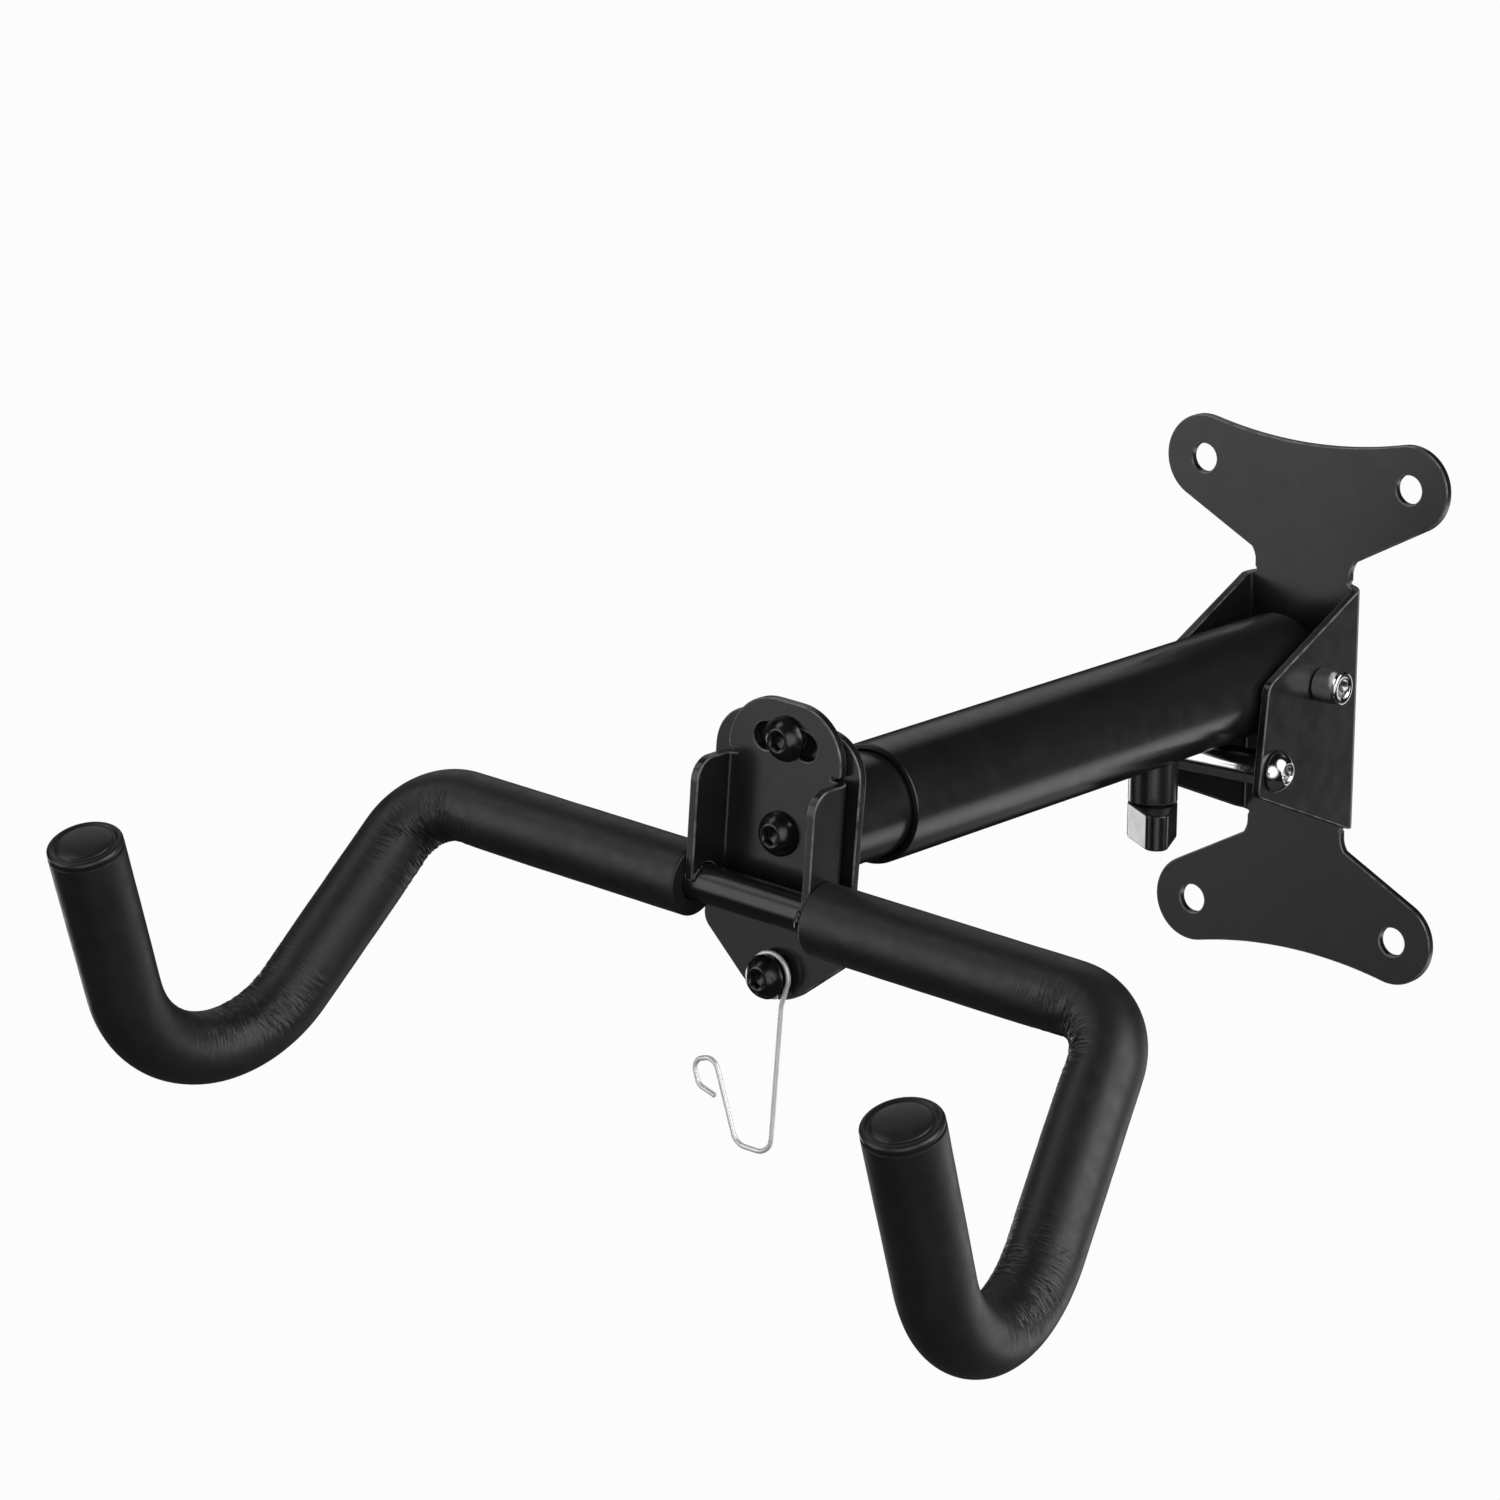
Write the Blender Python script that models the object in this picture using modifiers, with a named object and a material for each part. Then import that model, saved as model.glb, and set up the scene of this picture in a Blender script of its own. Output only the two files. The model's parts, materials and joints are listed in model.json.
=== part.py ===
"""Folding bicycle wall rack: a bracket with two ears, an arm tube that folds up,
an inner tube with a tilting head, and one bent bar whose foam-covered ends form two hooks.

Metres, +Z up. The wall is the plane y = 0, the arm points along -Y, and the origin is the
middle of the bracket's back face.
"""
import bpy
import bmesh
from math import acos, asin, atan2, cos, pi, radians, sin, sqrt, tan
from mathutils import Matrix, Vector

MM = 0.001
GAP = 0.3 * MM                       # clearance kept between touching pieces
OVERLAP = 0.04 * MM                  # keeps the faces of two joined sheets off one plane

# Wall bracket
SHEET = 3.0 * MM                     # thickness of every sheet metal part
HOLE_X = 41.0 * MM                   # half of the hole spacing across the wall
HOLE_Z = 78.5 * MM                   # half of the hole spacing up the wall
HOLE_R = 5.0 * MM
LOBE_R = 15.0 * MM                   # round ends of the four wings
WAIST_Z = 88.4 * MM                  # height of the hollow between two wings
NECK_X = 19.0 * MM                   # half width of the flat neck between the ears
NECK_FILLET = 8.0 * MM
WING_ROOT = (25.0 * MM, 51.9 * MM)   # a point on the straight lower edge of a wing
BEND_IN = 1.5 * MM                   # inner radius of every bend
EAR_IN = NECK_X + BEND_IN            # inner face of an ear
EAR_OUT = EAR_IN + SHEET
EAR_BACK_Z = 43.5 * MM
EAR_FRONT_Z = 18.5 * MM
EAR_TOP_Y = -56.5 * MM               # where the front edge meets the top edge
EAR_LOW_Y = -61.0 * MM               # where the front edge meets the lower edge

# Arm
PIVOT_Y = -26.5 * MM
ARM_Z = 13.7 * MM                    # height of the arm's axis and of the fold pivot
ARM_R = 19.0 * MM
ARM_WALL = 2.0 * MM
ARM_REAR = -17.0 * MM
ARM_MOUTH = -242.5 * MM
STOP_R = 5.8 * MM                    # sleeve that the arm rests on
STOP_Y = -51.0 * MM
STOP_Z = ARM_Z - ARM_R - STOP_R - GAP
BUSH_R = 6.0 * MM
INNER_R = ARM_R - ARM_WALL - GAP
INNER_WALL = 2.0 * MM
INNER_REAR = -75.0 * MM

# Clamp under the arm
CLAMP_Y = -88.6 * MM
CLAMP_R = 8.2 * MM
CLAMP_JOIN_Z = -17.7 * MM            # lower face of the boss
LEVER_LOW_Z = -30.0 * MM
LEVER_REACH = 15.0 * MM              # from the screw's axis to the middle of the lever's nose
LEVER_NOSE_R = 4.0 * MM
LEVER_TURN = radians(-50.0)

# Head, measured from the bar's middle: forward is -Y, up is +Z
BAR_Y = -294.9 * MM
REAR_ROLL = radians(4.6)             # turn of the inner tube in the arm
FRONT_ROLL = radians(3.85)           # turn of the front plate and the hooks
WEB_FRONT = 8.5 * MM                 # front face of the front plate, behind the bar's axis
WEB_BACK = WEB_FRONT + SHEET
REAR_FRONT = WEB_BACK + GAP
REAR_BACK = REAR_FRONT + SHEET
CHEEK_IN = 20.8 * MM                 # inner face of the front plate's flanges
CHEEK_OUT = CHEEK_IN + SHEET
CHEEK_TOP = 21.0 * MM
CHEEK_FRONT = 6.2 * MM               # front edge of the flanges, ahead of the bar's axis
TONGUE_TOP = 41.5 * MM
TONGUE_X = 21.4 * MM                 # half width of the tongue
TONGUE_CORNER = 17.0 * MM
SLOT_RADIUS = 30.0 * MM              # from the tilt screw to the slot screw
SLOT_HALF_ANGLE = radians(15.0)
SLOT_HALF_WIDTH = 4.4 * MM
REAR_HALF = 27.8 * MM                # half width of the rear plate
REAR_TOP_Z = 35.0 * MM
REAR_SHOULDER_Z = -36.0 * MM         # where the rear plate starts to narrow
REAR_FOOT_X = 7.0 * MM
REAR_LOW_Z = -54.0 * MM
REAR_SHIFT = -1.5 * MM               # the plate's middle, measured from the inner tube's axis
WIRE_SCREW_Z = -45.5 * MM

# Bar and hooks, in the head's frame; every right hook point is mirrored to the left
BAR_R = 6.0 * MM
BAR_Z = -19.0 * MM
HOOK_CORNER = Vector((134.0, 0.0, -19.0)) * MM
HOOK_LOW = Vector((156.0, -88.0, -127.0)) * MM
HOOK_TIP = Vector((154.0, -131.0, -11.2)) * MM
CORNER_RADIUS = 20.0 * MM
LOW_RADIUS = 39.0 * MM
FOAM_R = 11.5 * MM
FOAM_BORE_R = 6.6 * MM
FOAM_START = CHEEK_OUT + GAP
CAP_R = 11.8 * MM                    # end caps, which cover the foam's end
CAP_RIM = 2.6 * MM
CAP_DOME_R = 8.0 * MM
CAP_DOME = 1.3 * MM
CUP_R = 8.2 * MM                     # the caps' cups, round the ends of the bar
CUP_DEPTH = 10.0 * MM
CUP_TOP = 3.0 * MM

# Fasteners, all of one thread size
SHANK_R = 4.0 * MM
SHANK_HOLE_R = 4.35 * MM
BUTTON_R = 7.0 * MM
BUTTON_HIGH = 4.4 * MM
CAP_HEAD_R = 5.7 * MM
CAP_HEAD_HIGH = 9.6 * MM
NUT_R = 7.5 * MM
NUT_HIGH = 6.5 * MM
WASHER_R = 8.0 * MM
WASHER_HIGH = 1.6 * MM
SOCKET_R = 2.9 * MM                  # corner radius of the hexagon sockets
SOCKET_DEEP = 2.6 * MM
BUTTON_SEAT_R = 6.6 * MM             # radius where a button head's dome meets its side

# Wire hook, in the plane of its ring
WIRE_R = 0.8 * MM
WIRE_RING_R = 6.9 * MM
WIRE_BUSH_R = 5.7 * MM
WIRE_BUSH_LONG = 4.4 * MM

ROUND = 32                           # sides of a turned part
SMOOTH_ANGLE = radians(35.0)


def clear_scene():
    for item in list(bpy.data.objects):
        bpy.data.objects.remove(item, do_unlink=True)


def make_collection(name):
    group = bpy.data.collections.new(name)
    bpy.context.scene.collection.children.link(group)
    return group


def make_material(name, colour, roughness, metallic):
    material = bpy.data.materials.new(name)
    material.use_nodes = True
    shader = material.node_tree.nodes["Principled BSDF"]
    shader.inputs["Base Color"].default_value = (*colour, 1.0)
    shader.inputs["Roughness"].default_value = roughness
    shader.inputs["Metallic"].default_value = metallic
    return material


clear_scene()
PARTS = make_collection("bicycle_wall_rack")
CUTTERS = make_collection("cutters")
PAINT = ((0.012, 0.012, 0.013), 0.42, 0.0)
ZINC = ((0.62, 0.62, 0.63), 0.22, 1.0)
BLACK_STEEL = ((0.03, 0.03, 0.03), 0.35, 1.0)
FOAM = ((0.014, 0.014, 0.014), 0.85, 0.0)
PLASTIC = ((0.02, 0.02, 0.021), 0.4, 0.0)
WIRE_STEEL = ((0.75, 0.75, 0.74), 0.18, 1.0)


# Shapes -----------------------------------------------------------------------------------

def add_part(name, data, look, parent=None):
    part = bpy.data.objects.new(name, data)
    PARTS.objects.link(part)
    part.parent = parent
    part.data.materials.append(make_material(name, *look))
    return part


def add_cutter(name, data, parent=None):
    cutter = bpy.data.objects.new(name, data)
    CUTTERS.objects.link(cutter)
    cutter.parent = parent
    cutter.hide_render = True
    cutter.display_type = "WIRE"
    return cutter


def add_axis(name, location, rotation=(0.0, 0.0, 0.0)):
    axis = bpy.data.objects.new(name, None)
    PARTS.objects.link(axis)
    axis.location = location
    axis.rotation_euler = rotation
    return axis


def mesh_from(name, build):
    """A mesh filled by build(bm), shaded smooth with sharp edges kept."""
    bm = bmesh.new()
    build(bm)
    data = bpy.data.meshes.new(name)
    bm.to_mesh(data)
    bm.free()
    data.shade_smooth()
    data.set_sharp_from_angle(angle=SMOOTH_ANGLE)
    return data


def aim(direction):
    """Matrix that turns +Z to the direction."""
    return Vector(direction).to_track_quat("Z", "Y").to_matrix().to_4x4()


def cylinder_mesh(name, start, end, radius, sides=ROUND):
    """Closed cylinder from start to end."""
    start, end = Vector(start), Vector(end)
    place = Matrix.Translation((start + end) / 2) @ aim(end - start)

    def build(bm):
        bmesh.ops.create_cone(bm, cap_ends=True, segments=sides, radius1=radius,
                              radius2=radius, depth=(end - start).length, matrix=place)
    return mesh_from(name, build)


def turned_part(name, profile, look, start, direction, parent=None, closed=False, sides=ROUND):
    """Solid of revolution about the line from start along direction.

    The profile's points are (radius, distance along the line), from the far end down the
    outer side to the near end; a closed profile is a ring's section.
    """
    data = bpy.data.meshes.new(name)
    edges = [(i, i + 1) for i in range(len(profile) - 1)]
    if closed:
        edges.append((len(profile) - 1, 0))
    data.from_pydata([(radius, 0.0, along) for radius, along in profile], edges, [])
    part = add_part(name, data, look, parent)
    part.matrix_local = Matrix.Translation(Vector(start)) @ aim(direction)
    screw = part.modifiers.new("turn", "SCREW")
    screw.steps = sides
    screw.render_steps = sides
    screw.use_merge_vertices = True
    screw.merge_threshold = 0.00001
    screw.use_smooth_shade = True
    return part


def ring_part(name, start, direction, length, outer, inner, look, parent=None, sides=ROUND):
    section = [(outer, length), (outer, 0.0), (inner, 0.0), (inner, length)]
    return turned_part(name, section, look, start, direction, parent, closed=True, sides=sides)


def cut(part, cutter, operation="DIFFERENCE"):
    step = part.modifiers.new(cutter.name, "BOOLEAN")
    step.operation = operation
    step.object = cutter
    step.solver = "EXACT"


def cut_cylinder(part, start, end, radius, parent=None, sides=ROUND):
    name = part.name + "_cut_" + str(len(part.modifiers))
    cut(part, add_cutter(name, cylinder_mesh(name, start, end, radius, sides), parent))


def curve_mesh(name, curve, place=Matrix.Identity(4)):
    """The curve's evaluated shape as a welded mesh; the curve itself is removed."""
    holder = bpy.data.objects.new(name + "_curve", curve)
    bpy.context.scene.collection.objects.link(holder)
    bpy.context.view_layer.update()
    shape = holder.evaluated_get(bpy.context.evaluated_depsgraph_get())
    data = bpy.data.meshes.new_from_object(shape)
    bpy.data.objects.remove(holder, do_unlink=True)
    bpy.data.curves.remove(curve)
    bm = bmesh.new()
    bm.from_mesh(data)
    bmesh.ops.remove_doubles(bm, verts=bm.verts, dist=0.00001)
    bmesh.ops.transform(bm, matrix=place, verts=bm.verts)
    bmesh.ops.recalc_face_normals(bm, faces=bm.faces)
    bm.to_mesh(data)
    bm.free()
    data.name = name
    data.shade_smooth()
    data.set_sharp_from_angle(angle=SMOOTH_ANGLE)
    return data


def poly_spline(curve, points, cyclic):
    spline = curve.splines.new("POLY")
    spline.points.add(len(points) - 1)
    for target, point in zip(spline.points, points):
        target.co = (*Vector(point).to_3d(), 1.0)
    spline.use_cyclic_u = cyclic


def sheet_mesh(name, outlines, thickness, place):
    """Flat sheet centred on its plane; the first outline is the edge, the others are holes."""
    curve = bpy.data.curves.new(name, "CURVE")
    curve.dimensions = "2D"
    curve.fill_mode = "BOTH"
    curve.extrude = thickness / 2
    for outline in outlines:
        poly_spline(curve, outline, True)
    return curve_mesh(name, curve, place)


def tube_mesh(name, points, radius, resolution):
    """Closed round bar along the points."""
    curve = bpy.data.curves.new(name, "CURVE")
    curve.dimensions = "3D"
    curve.bevel_depth = radius
    curve.bevel_resolution = resolution
    curve.use_fill_caps = True
    poly_spline(curve, points, False)
    return curve_mesh(name, curve)


# Outlines ---------------------------------------------------------------------------------

def arc(centre, radius, start, end, count):
    """Points on an arc in a plane; angles in radians."""
    step = (end - start) / (count - 1)
    return [(centre[0] + radius * cos(start + step * i), centre[1] + radius * sin(start + step * i))
            for i in range(count)]


def circle(centre, radius, count=24):
    return arc(centre, radius, 0.0, 2 * pi, count + 1)[:-1]


def rounded(points, radii, count=6, closed=True):
    """Polyline through the points (any dimension) with each corner rounded to its radius."""
    points = [Vector(point) for point in points]
    path = []
    for i, corner in enumerate(points):
        radius = radii[i]
        if radius == 0.0 or (not closed and i in (0, len(points) - 1)):
            path.append(corner.copy())
            continue
        back = (points[i - 1] - corner).normalized()
        ahead = (points[(i + 1) % len(points)] - corner).normalized()
        half = acos(max(-1.0, min(1.0, back.dot(ahead)))) / 2
        centre = corner + (back + ahead).normalized() * (radius / sin(half))
        first = corner + back * (radius / tan(half)) - centre
        last = corner + ahead * (radius / tan(half)) - centre
        sweep = pi - 2 * half
        for k in range(count + 1):
            share = k / count
            path.append(centre + (first * sin((1 - share) * sweep) + last * sin(share * sweep)) / sin(sweep))
    return path


UPRIGHT = Matrix.Rotation(radians(90), 4, "X")           # outline (x, y) to world (x, 0, z)
SIDEWAYS = Matrix(((0, 0, 1, 0), (1, 0, 0, 0), (0, 1, 0, 0), (0, 0, 0, 1)))  # to (0, y, z)


def bracket_outline():
    """Edge of the flat plate: four wings round the holes, joined by a neck."""
    hollow = WAIST_Z - HOLE_Z                       # arc that dips from lobe to lobe
    dip = LOBE_R - hollow
    big = (HOLE_X ** 2 + dip ** 2) / (2 * dip)
    lean = asin(HOLE_X / (big + LOBE_R))
    big = (HOLE_X / sin(lean)) - LOBE_R
    top_centre = (0.0, HOLE_Z + (big + LOBE_R) * cos(lean))
    root = Vector(WING_ROOT)
    lobe = Vector((HOLE_X, HOLE_Z))
    to_lobe = lobe - root                           # the wing's lower edge is tangent to the lobe
    edge_angle = atan2(to_lobe.y, to_lobe.x) - asin(LOBE_R / to_lobe.length)
    touch = edge_angle - pi / 2
    along = Vector((cos(edge_angle), sin(edge_angle)))
    corner = root + along * ((NECK_X - root.x) / along.x)
    fillet = rounded([lobe, corner, (NECK_X, 0.0)], [0.0, NECK_FILLET, 0.0], closed=False)[1:-1]
    quarter = list(reversed(fillet))                # from the neck out to the wing
    quarter += [Vector(p) for p in arc(lobe, LOBE_R, touch, pi / 2 + lean, 13)]
    quarter += [Vector(p) for p in arc(top_centre, big, -pi / 2 + lean, -pi / 2, 6)[1:]]
    left = [Vector((-p.x, p.y)) for p in reversed(quarter[:-1])]
    upper = quarter + left
    lower = [Vector((p.x, -p.y)) for p in reversed(upper)]
    return upper + lower


def channel_outline(inner, front, back, radius):
    """U-shaped section of a sheet with two flanges towards -Y; its web ends at y = back."""
    outer = inner + SHEET
    edge = [(-outer, front), (-outer, back), (outer, back), (outer, front),
            (inner, front), (inner, back - SHEET), (-inner, back - SHEET), (-inner, front)]
    bends = [0.0, radius + SHEET, radius + SHEET, 0.0, 0.0, radius, radius, 0.0]
    return rounded(edge, bends, count=4)


# Wall bracket -----------------------------------------------------------------------------

def wall_bracket():
    holes = [circle((sx * HOLE_X, sz * HOLE_Z), HOLE_R) for sx in (1, -1) for sz in (1, -1)]
    middle = Matrix.Translation((0, -SHEET / 2, 0))
    plate = sheet_mesh("wall_bracket", [bracket_outline()] + holes, SHEET, middle @ UPRIGHT)
    bracket = add_part("wall_bracket", plate, PAINT)
    section = channel_outline(EAR_IN, EAR_LOW_Y - SHEET, 0.0, BEND_IN)
    ears = add_cutter("ears", sheet_mesh("ears", [section], 2 * EAR_BACK_Z, Matrix.Identity(4)))
    side = rounded([(SHEET, -EAR_BACK_Z - 0.001), (EAR_LOW_Y, -EAR_FRONT_Z), (EAR_TOP_Y, EAR_FRONT_Z),
                    (SHEET, EAR_BACK_Z + 0.001)], [0.0, 3.0 * MM, 5.0 * MM, 0.0], count=4)
    shape = add_cutter("ear_side", sheet_mesh("ear_side", [side], 4 * EAR_OUT, SIDEWAYS))
    cut(ears, shape, "INTERSECT")
    cut(bracket, ears, "UNION")
    for height, y in ((ARM_Z, PIVOT_Y), (STOP_Z, STOP_Y)):
        cut_cylinder(bracket, (-2 * EAR_OUT, y, height), (2 * EAR_OUT, y, height), SHANK_HOLE_R, sides=24)


def socket(part, start, direction, parent):
    """Hexagon socket that opens at start and goes in against direction."""
    start, direction = Vector(start), Vector(direction)
    cut_cylinder(part, start + direction * MM, start - direction * SOCKET_DEEP, SOCKET_R, parent, 6)


def button_screw(name, seat, direction, length, look, parent=None):
    """Button head screw; its head stands on seat and points along direction."""
    seat, direction = Vector(seat), Vector(direction)
    flat = 3.6 * MM
    profile = [(0.0, BUTTON_HIGH), (flat, BUTTON_HIGH)]
    for k in range(1, 5):
        turn = radians(90) * k / 5
        profile.append((flat + (BUTTON_R - flat) * sin(turn), BUTTON_HIGH * cos(turn) * 0.86 + 0.6 * MM))
    profile += [(BUTTON_R, 0.6 * MM), (BUTTON_SEAT_R, 0.0), (SHANK_R, 0.0), (SHANK_R, -length + MM),
                (SHANK_R - 0.7 * MM, -length), (0.0, -length)]
    part = turned_part(name, profile, look, seat, direction, parent, sides=24)
    socket(part, seat + direction * BUTTON_HIGH, direction, parent)
    return part


def cap_screw(name, seat, direction, length, look, parent=None):
    """Socket cap screw with a cylindrical head."""
    seat, direction = Vector(seat), Vector(direction)
    profile = [(0.0, CAP_HEAD_HIGH), (CAP_HEAD_R - 0.6 * MM, CAP_HEAD_HIGH),
               (CAP_HEAD_R, CAP_HEAD_HIGH - 0.6 * MM), (CAP_HEAD_R, 0.0), (SHANK_R, 0.0),
               (SHANK_R, -length + MM), (SHANK_R - 0.7 * MM, -length), (0.0, -length)]
    part = turned_part(name, profile, look, seat, direction, parent, sides=24)
    socket(part, seat + direction * CAP_HEAD_HIGH, direction, parent)
    return part


def washer(name, start, direction, look, parent=None):
    return ring_part(name, start, direction, WASHER_HIGH, WASHER_R, SHANK_HOLE_R, look, parent, 24)


def nut(name, start, direction, look, parent=None):
    """Hexagon nut that reaches from start along direction."""
    start, direction = Vector(start), Vector(direction)
    data = cylinder_mesh(name, start, start + direction * NUT_HIGH, NUT_R, 6)
    part = add_part(name, data, look, parent)
    cut_cylinder(part, start - direction * MM, start + direction * (NUT_HIGH + MM), SHANK_HOLE_R, parent, 24)
    return part


def bracket_fasteners():
    right, left = Vector((1, 0, 0)), Vector((-1, 0, 0))
    face = EAR_OUT + GAP
    pivot = Vector((0, PIVOT_Y, ARM_Z))
    stop = Vector((0, STOP_Y, STOP_Z))
    past_washer = face + WASHER_HIGH + GAP
    past_nut = NUT_HIGH + 1.5 * MM
    cap_screw("pivot_screw", pivot + right * face, right, face + past_washer + past_nut, ZINC)
    washer("pivot_washer", pivot + left * face, left, ZINC)
    nut("pivot_nut", pivot + left * past_washer, left, ZINC)
    button_screw("stop_screw", stop + right * face, right, 2 * face + past_nut, ZINC)
    nut("stop_nut", stop + left * face, left, ZINC)
    inside = EAR_IN - GAP
    ring_part("stop_sleeve", stop + left * inside, right, 2 * inside, STOP_R, SHANK_HOLE_R, ZINC, sides=24)


# Arm --------------------------------------------------------------------------------------

def arm():
    fold_axis = add_axis("fold_axis", (0, PIVOT_Y, ARM_Z))
    length = ARM_REAR - ARM_MOUTH
    tube = ring_part("arm_tube", (0, ARM_MOUTH - PIVOT_Y, 0), (0, 1, 0), length, ARM_R,
                     ARM_R - ARM_WALL, PAINT, fold_axis, sides=48)
    cut_cylinder(tube, (-2 * ARM_R, 0, 0), (2 * ARM_R, 0, 0), BUSH_R + GAP, fold_axis, 24)
    clamp = CLAMP_Y - PIVOT_Y
    cut_cylinder(tube, (0, clamp, -2 * ARM_R), (0, clamp, 0), SHANK_HOLE_R, fold_axis, 24)
    inside = EAR_IN - GAP
    ring_part("pivot_bush", (-inside, 0, 0), (1, 0, 0), 2 * inside, BUSH_R, SHANK_HOLE_R, ZINC, fold_axis, 24)
    boss_low = CLAMP_JOIN_Z - ARM_Z
    data = cylinder_mesh("clamp_boss", (0, clamp, boss_low), (0, clamp, -ARM_R + 5.0 * MM), CLAMP_R)
    boss = add_part("clamp_boss", data, PAINT, fold_axis)
    cut_cylinder(boss, (0, clamp - 0.02, 0), (0, clamp + 0.02, 0), ARM_R + GAP, fold_axis, 48)
    cut_cylinder(boss, (0, clamp, -2 * ARM_R), (0, clamp, 0), SHANK_HOLE_R, fold_axis, 24)


def clamp():
    """Screw that presses on the inner tube, with its teardrop lever."""
    clamp_axis = add_axis("clamp_axis", (0, CLAMP_Y, 0), (0, 0, LEVER_TURN))
    tip = ARM_Z - INNER_R - GAP
    low = LEVER_LOW_Z + 4.0 * MM
    profile = [(0.0, tip), (SHANK_R - 0.8 * MM, tip), (SHANK_R, tip - 0.8 * MM), (SHANK_R, low), (0.0, low)]
    turned_part("clamp_screw", profile, ZINC, (0, 0, 0), (0, 0, 1), clamp_axis, sides=24)
    lean = asin((CLAMP_R - LEVER_NOSE_R) / LEVER_REACH)      # the sides are tangent to both ends
    edge = arc((0, 0), CLAMP_R, pi / 2 - lean, 1.5 * pi + lean, 17)
    edge += arc((LEVER_REACH, 0), LEVER_NOSE_R, -pi / 2 + lean, pi / 2 - lean, 9)
    top = CLAMP_JOIN_Z - GAP
    place = Matrix.Translation((0, 0, (top + LEVER_LOW_Z) / 2))
    lever = add_part("clamp_lever", sheet_mesh("clamp_lever", [edge], top - LEVER_LOW_Z, place),
                     PLASTIC, clamp_axis)
    cut_cylinder(lever, (0, 0, low - GAP), (0, 0, top + MM), SHANK_HOLE_R, clamp_axis, 24)


# Head -------------------------------------------------------------------------------------

def head_axis(name, roll):
    return add_axis(name, (0, BAR_Y, ARM_Z), (0, roll, 0))


def behind(distance, x=0.0, z=0.0):
    """Point in the head's frame at a distance behind the bar's axis."""
    return Vector((x, distance, z))


def spindle():
    """Inner tube and rear plate, which turn together; the slot screw is tapped into the plate."""
    axis = head_axis("spindle_axis", REAR_ROLL)
    forward, back = Vector((0, -1, 0)), Vector((0, 1, 0))
    start = REAR_BACK + GAP
    ring_part("inner_tube", behind(start), back, INNER_REAR - BAR_Y - start, INNER_R,
              INNER_R - INNER_WALL, PAINT, axis, sides=48)
    half = [(REAR_FOOT_X, REAR_LOW_Z), (REAR_HALF, REAR_SHOULDER_Z), (REAR_HALF, REAR_TOP_Z)]
    edge = rounded([(x + REAR_SHIFT, z) for x, z in half + [(-x, z) for x, z in reversed(half)]],
                   [r * MM for r in (18.0, 6.0, 14.0, 14.0, 6.0, 18.0)], count=7)
    holes = [circle((0, z), SHANK_HOLE_R) for z in (0.0, SLOT_RADIUS, WIRE_SCREW_Z)]
    place = Matrix.Translation((0, (REAR_FRONT + REAR_BACK) / 2, 0))
    add_part("rear_plate", sheet_mesh("rear_plate", [edge] + holes, SHEET, place @ UPRIGHT), PAINT, axis)
    web_face = WEB_FRONT - GAP
    rear_face = REAR_BACK + GAP
    nut_seat = rear_face + WASHER_HIGH + GAP
    long = nut_seat + NUT_HIGH + 1.5 * MM
    button_screw("tilt_screw", behind(web_face), forward, long - web_face, BLACK_STEEL, axis)
    washer("tilt_washer", behind(rear_face), back, BLACK_STEEL, axis)
    nut("tilt_nut", behind(nut_seat), back, BLACK_STEEL, axis)
    button_screw("slot_screw", behind(web_face, z=SLOT_RADIUS), forward,
                 REAR_BACK + 3.0 * MM - web_face, BLACK_STEEL, axis)
    bush = REAR_FRONT - GAP
    wire_seat = bush - WIRE_BUSH_LONG - GAP
    ring_part("wire_bush", behind(bush, z=WIRE_SCREW_Z), forward, WIRE_BUSH_LONG, WIRE_BUSH_R,
              SHANK_HOLE_R, BLACK_STEEL, axis, sides=24)
    button_screw("wire_screw", behind(wire_seat, z=WIRE_SCREW_Z), forward, long - wire_seat, BLACK_STEEL, axis)
    nut("wire_nut", behind(rear_face, z=WIRE_SCREW_Z), back, BLACK_STEEL, axis)


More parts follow.
